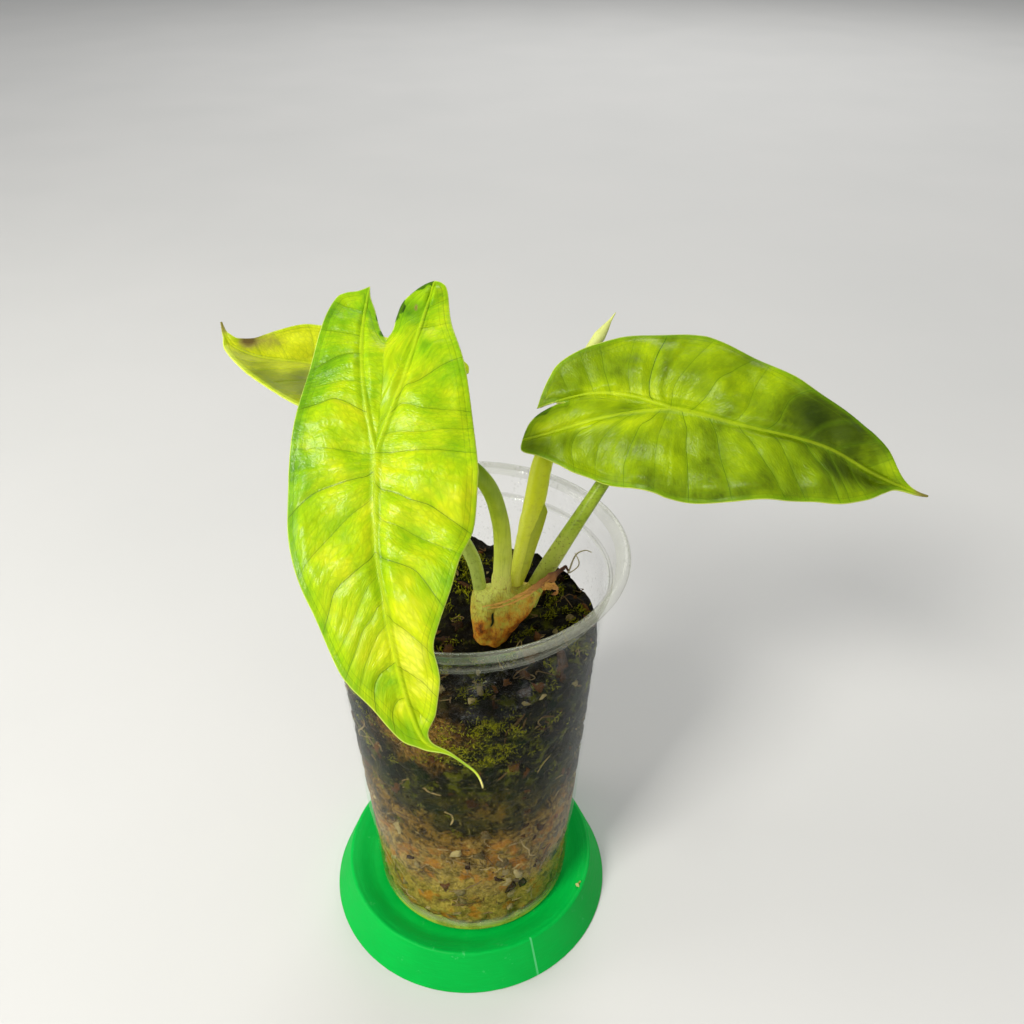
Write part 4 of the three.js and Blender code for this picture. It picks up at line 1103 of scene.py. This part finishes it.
def dry_scale():
    """Papery leaf remains: a thin tan edge across the stalk bases that ends in a ragged dark curl."""
    edge = [(5.6, -8.7, 132.8), (9.6, -9.6, 134.5), (14.4, -9.6, 136.4), (19.2, -8.6, 138.6),
            (24, -6.9, 140.8), (27.6, -5.4, 142.4), (29.6, -4.4, 143), (30.6, -4.6, 141.8)]
    flake = [(22.6, -8.6, 138.6), (25, -8, 138.8), (26.8, -7.4, 137.6), (27, -7, 135.8), (25.8, -6.6, 134.8)]
    hem = [(7, -9.4, 132.6), (12, -10, 134.1), (17, -9.4, 136.2), (21.4, -8.1, 138.6), (25, -6.9, 140.5)]
    upright = (-0.3, 0.12, 1)
    # Each strip: its route, half widths, ribbon settings, and how dry it starts and grows along it
    strips = [
        (edge, [0.25, 0.35, 0.35, 0.4, 0.6, 1.4, 1.6, 1, 0.3], (upright, 160, 0.3, 0.5, 0.35, 3), 0, 1),
        (flake, [0.7, 1.1, 0.9, 0.7, 0.3], ((0.1, 0.9, 0.4), 60, 0.28, 0.5, 0.4, 8), 0.3, 0.4),
        (hem, [0.2, 0.3, 0.35, 0.5, 0.2], (upright, 90, 0.25, 0.3, 0.4, 12), 0.15, 0.4),
    ]
    shape = Shape()
    for route, widths, settings, start, gain in strips:
        points, faces, along = ribbon(route, widths, *settings)
        shape.add(points, faces, along=start + gain * along)
    look = Look("dry_scale", Specular_IOR_Level=0.3, Subsurface_Weight=0.1,
                Subsurface_Radius=(1, 0.7, 0.4))
    grain = look.noise(1, 4, 0.7, look.stretched(6, 6, 0.5))
    place = look.layer("along") + (look.noise(3, 4) - 0.5) * 0.4
    look.color = look.ramp(place, (0, 240, 196, 92), (0.4, 230, 172, 82),
                           (0.66, 178, 122, 66), (0.84, 84, 52, 32), (1, 40, 26, 18))
    look.paint(look.step(grain, 0.46, 0.7, 0, 0.5), 146, 96, 44)
    look.finish(look.step(grain, 0.2, 0.8, 0.55, 0.85), grain, 0.2, 0.7)
    add_piece("scale_leaf", shape, look, "dry_scale_skin", "dry_scale")


# Growing mix
CUP_BULGE = 0.3
FILL_GAP = 0.15
CORM_FOOT = (7.4, -5.8)
CORM_CLEARANCE = 7
LEAFLET_LENGTH = 1.2
LEAFLET_WIDTH = 0.16
WALL_STRANDS = 620
TOP_STRANDS = 60


def cup_radius(height):
    rise = (height - CUP_BASE) / (CUP_SHOULDER - CUP_BASE)
    return CUP_BASE_RADIUS + (CUP_SHOULDER_RADIUS - CUP_BASE_RADIUS) * rise + CUP_BULGE * np.sin(np.pi * rise)


def mix_height(x, y):
    slope = 0.03 * (y - x)
    humps = 1.5 * np.sin(x * 0.19 + 1.3) * np.cos(y * 0.16 - 0.4)
    clods = 0.9 * np.sin(x * 0.47 - y * 0.22) * np.sin(y * 0.41 + x * 0.13 + 0.8)
    return MIX_TOP + slope + humps + clods


def wall_inside(height):
    """Radius that everything in the cup stays within."""
    return cup_radius(height) - CUP_WALL - FILL_GAP


def kept_inside(points):
    """Presses points back inside the cup's wall."""
    reach = np.hypot(points[:, 0] - CUP_X, points[:, 1])
    limit = wall_inside(points[:, 2])
    share = np.minimum(1, limit / np.maximum(reach, 1e-6))
    pressed = points.copy()
    pressed[:, 0] = CUP_X + (points[:, 0] - CUP_X) * share
    pressed[:, 1] = points[:, 1] * share
    return pressed


def around_cup(angle, reach, height):
    return np.stack([CUP_X + reach * np.cos(angle), reach * np.sin(angle), height], axis=-1)


def soil_body():
    """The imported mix: a rough top, and a side pressed lumpily against the wall."""
    sides, top_rings, side_rings = 260, 80, 150
    angle = full_turn(sides)
    floor = CUP_BASE + FOOT_HEIGHT + CUP_WALL + SEAT_GAP
    rows = []
    for reach in (wall_inside(MIX_TOP) - 0.4) * np.linspace(0.02, 1, top_rings):
        flat = around_cup(angle, reach, 0 * angle)
        height = mix_height(flat[:, 0], flat[:, 1])
        flat[:, 2] = height + 0.9 * noise(flat, 3.2, 3) - 0.4
        rows.append(flat)
    for height in np.linspace(MIX_TOP - 0.8, floor, side_rings):
        ring = around_cup(angle, wall_inside(height), np.full(sides, height))
        hollow = 0.6 + 1.1 * noise(ring, 5, 3) + 0.5 * noise(ring + 40, 1.5, 2)
        rows.append(around_cup(angle, wall_inside(height) - np.clip(hollow, 0, 3), ring[:, 2]))
    rows.append(around_cup(angle, CUP_BASE_RADIUS - 6, np.full(sides, floor)))
    return Shape().add(np.vstack(rows), capped(len(rows), sides))


# The tan patch behind the wall, in metres; the pale stone at the edge and the root up the wall
TAN_PATCH = (-0.0155, -0.037, 0.110)
EDGE_STONE = (32.2, -1.9, 121.4)
ROOT_THREADS = [
    ([(34.2, 21.4, 120.5), (36, 19.4, 129), (38.2, 15.2, 134), (39.6, 10.8, 136.5)], [0.3, 0.3, 0.22, 0.12]),
    ([(34.6, 20.8, 121), (36.6, 18.4, 125), (36.9, 17.4, 128), (35.8, 19.4, 130)], [0.2, 0.22, 0.15]),
]
# Thin strands take their sides from this leaning direction
STRAND_SIDE = (0.21, 0.1, 1)


def soil_look():
    """Wet algae and moss above, bark in the middle and pale fibre below, mottled throughout, with painted
    shade in the gaps between particles.
    """
    look = Look("soil", Specular_IOR_Level=0.05)
    height = look.height()
    broad, medium = look.noise(16, 4, 0.6), look.noise(3.4, 6, 0.7)
    small, fine = look.noise(1.3, 5, 0.7), look.noise(0.5, 3)
    level = height + (broad - 0.5) * 70
    look.color = look.ramp(look.step(level, 8, 126), (0, 156, 140, 56), (0.3, 138, 114, 54),
                           (0.46, 112, 86, 28), (0.56, 66, 60, 16), (0.7, 30, 34, 6),
                           (0.85, 12, 16, 3), (1, 8, 8, 3))
    grain = medium * 0.6 + small * 0.5
    # Painted shade: near-black gaps in the grain between the particles, fainter low down
    look.paint(look.step(grain, 0.46, 0.62, 0.9, 0) * look.step(level, 20, 70, 0.6, 1), 8, 8, 3)
    # Orange bark low down, then green moss and dark algae above: noise, its range, the levels where
    # they start and are full, their strength and their tone
    for spots, low, high, start, full, strength, tone in (
        (look.noise(6, 4), 0.5, 0.64, 66, 46, 0.6, (156, 94, 10)),
        (look.noise(5, 5, 0.65), 0.52, 0.64, 70, 92, 0.6, (92, 96, 10)),
        (look.noise(9, 5, 0.6), 0.54, 0.62, 60, 76, 0.7, (8, 26, 5)),
    ):
        look.paint(look.step(spots, low, high) * look.step(level, start, full) * strength, *tone)
    from_patch = look.node("VectorMath", {0: look.place, 1: TAN_PATCH}, "Value", operation="DISTANCE")
    ragged = from_patch + (medium - 0.5) * 0.03
    tans = look.mix(look.step(small, 0.35, 0.65), shade(44, 28, 6), shade(142, 106, 40))
    look.paint(look.step(ragged, 0.019, 0.006, 0, 0.92), tans)
    look.paint(look.step(small, 0.56, 0.7) * look.step(level, 30, 90, 0.75, 0.25), 172, 154, 84)
    crest = look.step(height, MIX_TOP - 3, MIX_TOP - 0.5) * 0.75
    look.paint(crest, look.mix(small, shade(3, 3, 1), shade(22, 16, 6)))
    return look.finish(look.step(fine, 0.3, 0.8, 0.5, 0.95), medium + small + fine * 0.5, 0.7, 0.9)


def as_placed(points):
    return points


def lumps(random, centres, sizes, flatness, roughness, press=kept_inside):
    """Rough stones or chips at the centres, each turned its own way and pressed inside the cup."""
    base, faces = ball()
    shape = Shape()
    for centre, size in zip(centres, sizes):
        stretch = np.array([1, random.uniform(0.55, 0.9), flatness * random.uniform(0.7, 1.2)])
        rough = 1 + roughness * noise(base * 1.6 + random.uniform(0, 90, 3), 1, 3)
        points = (base * rough[:, None] * stretch * size) @ turn_matrix(random).T + centre
        shape.add(press(points), faces, shade=random.uniform())
    return shape


def wall_places(random, count, low, high, inset, angles=(0, 2 * np.pi)):
    """Places between two heights, set in from the wall."""
    angle = random.uniform(*angles, count)
    height = random.uniform(low, high, count)
    return around_cup(angle, wall_inside(height) - inset, height)


def top_places(random, count, reach, lift):
    """Places on the top of the mix within a reach of its middle, clear of the corm."""
    places = []
    while len(places) < count:
        angle, far = random.uniform(0, 2 * np.pi), reach * math.sqrt(random.uniform())
        x, y = CUP_X + far * math.cos(angle), far * math.sin(angle)
        if math.dist((x, y), CORM_FOOT) > CORM_CLEARANCE:
            places.append((x, y, mix_height(x, y) + lift))
    return np.array(places)


def lump_look(name, dark, light, size):
    """Stone, bark or moss: each piece its own shade, mottled and pitted, with painted shade in its pits."""
    look = Look(name, Specular_IOR_Level=0.08)
    grain, pits = look.noise(size, 5, 0.65), look.cells(size * 0.5)
    value = look.layer("shade") * 0.6 + grain * 0.7 - 0.15
    look.color = look.mix(look.step(value, 0, 1), shade(*dark), shade(*light))
    # Painted shade in the pits that the bump dents
    look.paint(look.step(pits, 0.05, 0.3, 0.5, 0), *dark)
    return look.finish(look.step(grain, 0.3, 0.7, 0.6, 0.9), grain + pits, 0.35, 0.8)


def spikes(random, bases, directions):
    """Small closed tapering leaflets, each bent a little to one side."""
    count = len(bases)
    forward = unit(directions)
    side = unit(np.cross(forward, random.normal(size=(count, 3))))
    other = np.cross(forward, side)
    long = LEAFLET_LENGTH * random.uniform(0.6, 1.3, count)[:, None]
    wide = LEAFLET_WIDTH * random.uniform(0.7, 1.3, count)[:, None]
    bend = side * long * random.uniform(-0.4, 0.4, count)[:, None]
    rings = []
    for share, girth, push in ((0, 0.7, 0), (0.5, 1, 0.35)):
        for turn in (0, 2 * np.pi / 3, 4 * np.pi / 3):
            rim = wide * girth * (side * math.cos(turn) + 0.5 * other * math.sin(turn))
            rings.append(bases + forward * long * share + bend * push + rim)
    rings.append(bases + forward * long + bend)
    points = np.stack(rings, axis=1).reshape(-1, 3)
    pattern = [[2, 1, 0], [0, 1, 4, 3], [1, 2, 5, 4], [2, 0, 3, 5], [3, 4, 6], [4, 5, 6], [5, 3, 6]]
    faces = [[7 * k + corner for corner in face] for k in range(count) for face in pattern]
    return points, faces


def tuft(random, shape, place, size, count, green):
    """One clump of moss: leaflets that stand out of a small patch."""
    place = np.array(place)
    bases = place + random.normal(0, size, (count, 3)) * (1, 1, 0.6)
    outward = unit(place - (CUP_X, 0, place[2] - 24))
    directions = 0.5 * outward + random.normal(0, 0.7, (count, 3)) + (0, 0, 0.35)
    points, faces = spikes(random, bases, directions)
    shape.add(kept_inside(points), faces, shade=np.repeat(green * random.uniform(0.1, 1, count), 7))


def moss():
    """Yellow-green clumps on the top of the mix and against the upper wall."""
    random = np.random.default_rng(31)
    shape = Shape()
    # Tufts against the wall: count, heights, angles, greenness and size
    for count, low, high, angles, green, size in (
        (60, 99, 117, (-1.8, -1.2), 1.1, 1.2), (40, 90, 120, (-2.6, -0.9), 0.6, 1.3),
        (70, 100, 120, (-0.9, 3.9), 0.7, 1.2), (36, 60, 96, (0, 6.3), 0.35, 1),
    ):
        for place in wall_places(random, count, low, high, 1.1, angles):
            tuft(random, shape, place, size, 44, green)
    for place in top_places(random, 90, 37, 0.1):
        tuft(random, shape, place, 0.9, 34, 0.55)
    for x, y in random.uniform((-24, 10), (6, 32), (34, 2)):
        tuft(random, shape, (x, y, mix_height(x, y) + 0.3), 1, 40, 0.9)
    add_piece("moss_tufts", shape, lump_look("moss", (20, 34, 3), (186, 186, 22), 1.2), "growing_mix")


def fibres():
    """Pale moss strands and fine roots pressed against the wall and lying on the top."""
    random = np.random.default_rng(41)
    shape = Shape()
    low, middle, high = 14, 66, 118
    for _ in range(WALL_STRANDS):
        span = (low, middle) if random.uniform() < 0.78 else (middle, high)
        height = random.uniform(*span)
        steps = np.arange(5)
        drift, climb = random.normal(0, 0.045), random.normal(0, 1.6)
        angles = random.uniform(0, 2 * np.pi) + drift * steps + random.normal(0, 0.018, 5)
        heights = np.clip(height + climb * steps + random.normal(0, 0.5, 5), low + 0.4, high + 1)
        route = around_cup(angles, wall_inside(heights) - random.uniform(0.2, 1.4), heights)
        girth = random.uniform(0.1, 0.4)
        points, faces = tube(route, [0.5 * girth, girth, 0.3 * girth], 12, 5, reference=STRAND_SIDE)
        shape.add(kept_inside(points), faces, shade=random.uniform(0, 1) ** 1.4)
    for start in top_places(random, TOP_STRANDS, 36, 0.5):
        steps = np.cumsum(random.normal(0, 2, (4, 3)) * (1, 1, 0), axis=0)
        route = np.vstack([start, start + steps])
        lift = random.uniform(0.2, 1, 5) * random.uniform(0.5, 2)
        route[:, 2] = mix_height(route[:, 0], route[:, 1]) + lift
        points, faces = tube(route, [0.08, 0.2, 0.06], 16, 5, reference=STRAND_SIDE)
        shape.add(kept_inside(points), faces, shade=random.uniform(0, 0.5))
    add_piece("moss_strands", shape, lump_look("fibres", (66, 42, 14), (176, 156, 100), 1.6), "growing_mix")


def growing_mix():
    add_piece("soil", soil_body(), soil_look(), "growing_mix", "growing_mix")
    random = np.random.default_rng(51)
    places = np.vstack([wall_places(random, 190, 30, 119, 1.2), top_places(random, 70, 38, -0.2)])
    bark = lumps(random, places, random.uniform(0.8, 3, len(places)), 0.35, 0.8)
    add_piece("bark_chips", bark, lump_look("bark", (18, 12, 5), (96, 62, 26), 1.4), "growing_mix")
    places = np.vstack([wall_places(random, 150, 15, 62, 1), wall_places(random, 18, 62, 119, 1.2),
                        top_places(random, 14, 38, -0.2), [EDGE_STONE]])
    sizes = np.append(random.uniform(0.6, 2.1, len(places) - 1), 1.1)
    stones = lumps(random, places, sizes, 0.8, 0.7)
    add_piece("pumice", stones, lump_look("pumice", (66, 52, 24), (168, 154, 100), 1.1), "growing_mix")
    root = Shape()
    for route, radii in ROOT_THREADS:
        points, faces = tube(route, radii, 60, 10, reference=STRAND_SIDE)
        root.add(kept_inside(points), faces, shade=0.7)
    add_piece("wall_root", root, lump_look("root", (150, 134, 96), (206, 198, 160), 1), "growing_mix")
    moss()
    fibres()


# Cup and saucer
CUP_SIDES = 160
SAUCER_SIDES = 220
DISH_RINGS = 26


def cup_look():
    """Clear plastic: a mirror at its edges under a thin film of damp, beads, scuffs and scale; painted grey
    bands at the lip and rings and a painted glow at the foot.
    """
    look = Look("clear_plastic", IOR=1.5)
    height = look.height()
    above_mix = look.step(height, MIX_TOP - 3.5, MIX_TOP + 2.5)
    damp = look.step(look.noise(9, 5, 0.65), 0.48, 0.72) * above_mix
    beads = look.step(look.cells(1.7), 0.1, 0.32, 1, 0) * look.step(look.noise(14, 3), 0.45, 0.62) * above_mix
    streaks = look.noise(1, 4, 0.6, look.stretched(2, 2, 26))
    scuffs = look.step(streaks, 0.52, 0.75) * 0.004
    facing = look.node("LayerWeight", {"Blend": 0.5}, "Facing")
    rim = look.step(height, CUP_SHOULDER, CUP_SHOULDER + 1)
    mirror = facing**5 * 0.28 + facing**2.5 * (rim * 0.14) + 0.002
    # Painted refraction: grey bands at the lip and the stacking rings, where light bends through the thick
    # plastic
    lip = look.step(height, CUP_TOP - 2.8, CUP_TOP - 2.4, 0, 0.24)
    rings = look.step(height, CUP_SHOULDER, CUP_SHOULDER + 0.4)
    rings *= look.step(height, CUP_SHOULDER + 2, CUP_SHOULDER + 1.6, 0, 0.2)
    # A mottled film at the foot: partly lime scale, partly a painted glow of light through the foot, tinted
    # yellow-green below
    scale = look.step(height, CUP_BASE + 6, CUP_BASE + 1.5) * look.step(look.noise(5, 4), 0.35, 0.6, 0.3, 0.7)
    film = damp * 0.04 + beads * 0.14 + scuffs + scale + lip + rings
    cover = look.math("MINIMUM", mirror + film, 0.9)
    look.drive("Alpha", cover)
    look.drive("Metallic", mirror / cover)
    look.color = look.mix(damp, shade(232, 236, 234), shade(240, 242, 240))
    # Painted refraction over the rim, grey, and below it a painted yellow-green glow at the foot
    look.paint(rim, 180, 182, 160)
    look.paint(look.step(height, CUP_BASE + 6, CUP_BASE + 2), 198, 206, 74)
    roughness = look.step(damp + beads + scuffs, 0, 1, 0.07, 0.3)
    relief = (beads + streaks * 0.3) * look.step(height, CUP_SHOULDER - 0.9, CUP_SHOULDER - 2.4)
    return look.finish(roughness, relief, 0.3, 0.4)


def cup():
    """Clear cup with its foot, stacking rings and rolled lip."""
    heights = [CUP_BASE + 1, *np.linspace(CUP_BASE + 1.6, CUP_SHOULDER - 0.6, 14), CUP_SHOULDER]
    wall = [(cup_radius(height), height) for height in heights]
    foot = stepped(CUP_BASE_RADIUS, CUP_BASE, [(-5, FOOT_HEIGHT), (-4, 0.5), (-3.2, 0), (-1, 0), (-0.2, 0.4)])
    rings = stepped(CUP_SHOULDER_RADIUS, CUP_SHOULDER, [(0.7, 0.5), (1, 1.1), (0.5, 1.8), (0.5, 2.4),
                                                        (1.3, 3), (1.6, 3.6), (2, 7.4)])
    roll = [(LIP_ROLL * math.cos(turn), LIP_ROLL * math.sin(turn)) for turn in np.linspace(-1.9, 2.6, 12)]
    lip = stepped(RIM_RADIUS - LIP_ROLL, CUP_TOP - LIP_ROLL, roll)
    inward = stepped(-CUP_WALL, 0, reversed([*wall, *rings]))
    floor = stepped(CUP_BASE_RADIUS, CUP_BASE + CUP_WALL, [(-1.4, 0), (-3.2, 0), (-4.8, FOOT_HEIGHT)])
    points, faces = turned([*foot, *wall, *rings, *lip, *inward, *floor], CUP_SIDES, CUP_X)
    add_piece("clear_cup", Shape().add(points, faces), cup_look(), "clear_plastic", "cup")


LAYER_HEIGHT = 0.4
LAYER_RIDGE = 0.07
DISH_TOP = SAUCER_HEIGHT - 0.25
DISH_OUTER = SAUCER_TOP_RADIUS - 1.2
DISH_INNER = CUP_BASE_RADIUS + 1.6
SEAM_TURN = -1.12
SEAM_HALF_TURN = 0.01


def layered(start, end):
    """Outline points up or down a wall with a slight ridge for each printed layer."""
    start, end = np.array(start), np.array(end)
    count = max(2, round(abs(end[1] - start[1]) / LAYER_HEIGHT))
    points = []
    for k in range(count):
        for share, out in ((0.12, 0), (0.5, LAYER_RIDGE), (0.88, 0)):
            points.append(start + (end - start) * ((k + share) / count) + (out, 0))
    return points


def saucer_look():
    """Satin green plastic with fine layers, scuffs and a pale seam down the wall."""
    look = Look("saucer_plastic", Specular_IOR_Level=0.08, Subsurface_Weight=0.08,
                Subsurface_Radius=(0.3, 1, 0.6))
    broad, fine = look.noise(22, 4), look.noise(1, 3, 0.5, look.stretched(5, 5, 0.4))
    look.color = look.mix(broad, shade(0, 156, 54), shade(0, 176, 64))
    look.paint(look.step(fine, 0.4, 0.75, 0, 0.25), 2, 190, 74)
    x, y = look.axis("X"), look.axis("Y")
    turn = abs(look.math("ARCTAN2", y, x) - SEAM_TURN)
    reach = look.math("SQRT", x * x + y * y)
    outer = look.step(reach, (SAUCER_TOP_RADIUS - 0.6) * MM, SAUCER_TOP_RADIUS * MM)
    seam = look.step(turn, SEAM_HALF_TURN, 0.4 * SEAM_HALF_TURN) * outer
    look.paint(seam * 0.45, 120, 216, 156)
    look.paint(look.step(look.noise(5, 5, 0.7), 0.62, 0.74) * 0.25, 130, 206, 160)
    return look.finish(look.step(fine, 0.2, 0.8, 0.36, 0.55), fine + seam, 0.08, 0.4)


def saucer():
    """Printed saucer with a shallow dish, and the pale fleck on its edge."""
    outline = [(SAUCER_RADIUS - 0.5, 0)]
    outline += layered((SAUCER_RADIUS - 0.1, 0.3), (SAUCER_TOP_RADIUS + 0.35, SAUCER_HEIGHT - 0.4))
    outline += stepped(SAUCER_TOP_RADIUS, SAUCER_HEIGHT, [(0.1, -0.08), (-0.3, 0), (-0.9, -0.06)])
    for share in np.linspace(0, 1, DISH_RINGS):
        sunk = 0.6 * share + 0.4 * (0.5 - 0.5 * math.cos(math.pi * share))
        grain = 0.03 * math.sin(share * 60)
        height = DISH_TOP + grain - (DISH_TOP - SAUCER_FLOOR) * sunk
        outline.append((DISH_OUTER - (DISH_OUTER - DISH_INNER) * share, height))
    points, faces = turned(outline, SAUCER_SIDES, 0)
    spots = [(37, -19.9, 13.8), (37.8, -18.8, 13.8)]
    fleck = lumps(np.random.default_rng(5), spots, [1.2, 0.8], 0.5, 0.4, as_placed)
    fleck_look = lump_look("fleck", (150, 150, 60), (214, 210, 140), 0.8)
    add_piece("saucer_fleck", fleck, fleck_look, "saucer_plastic")
    add_piece("green_saucer", Shape().add(points, faces), saucer_look(), "saucer_plastic", "saucer")


camera()
studio()
saucer()
cup()
growing_mix()
corm()
dry_scale()
stalks()
blades()
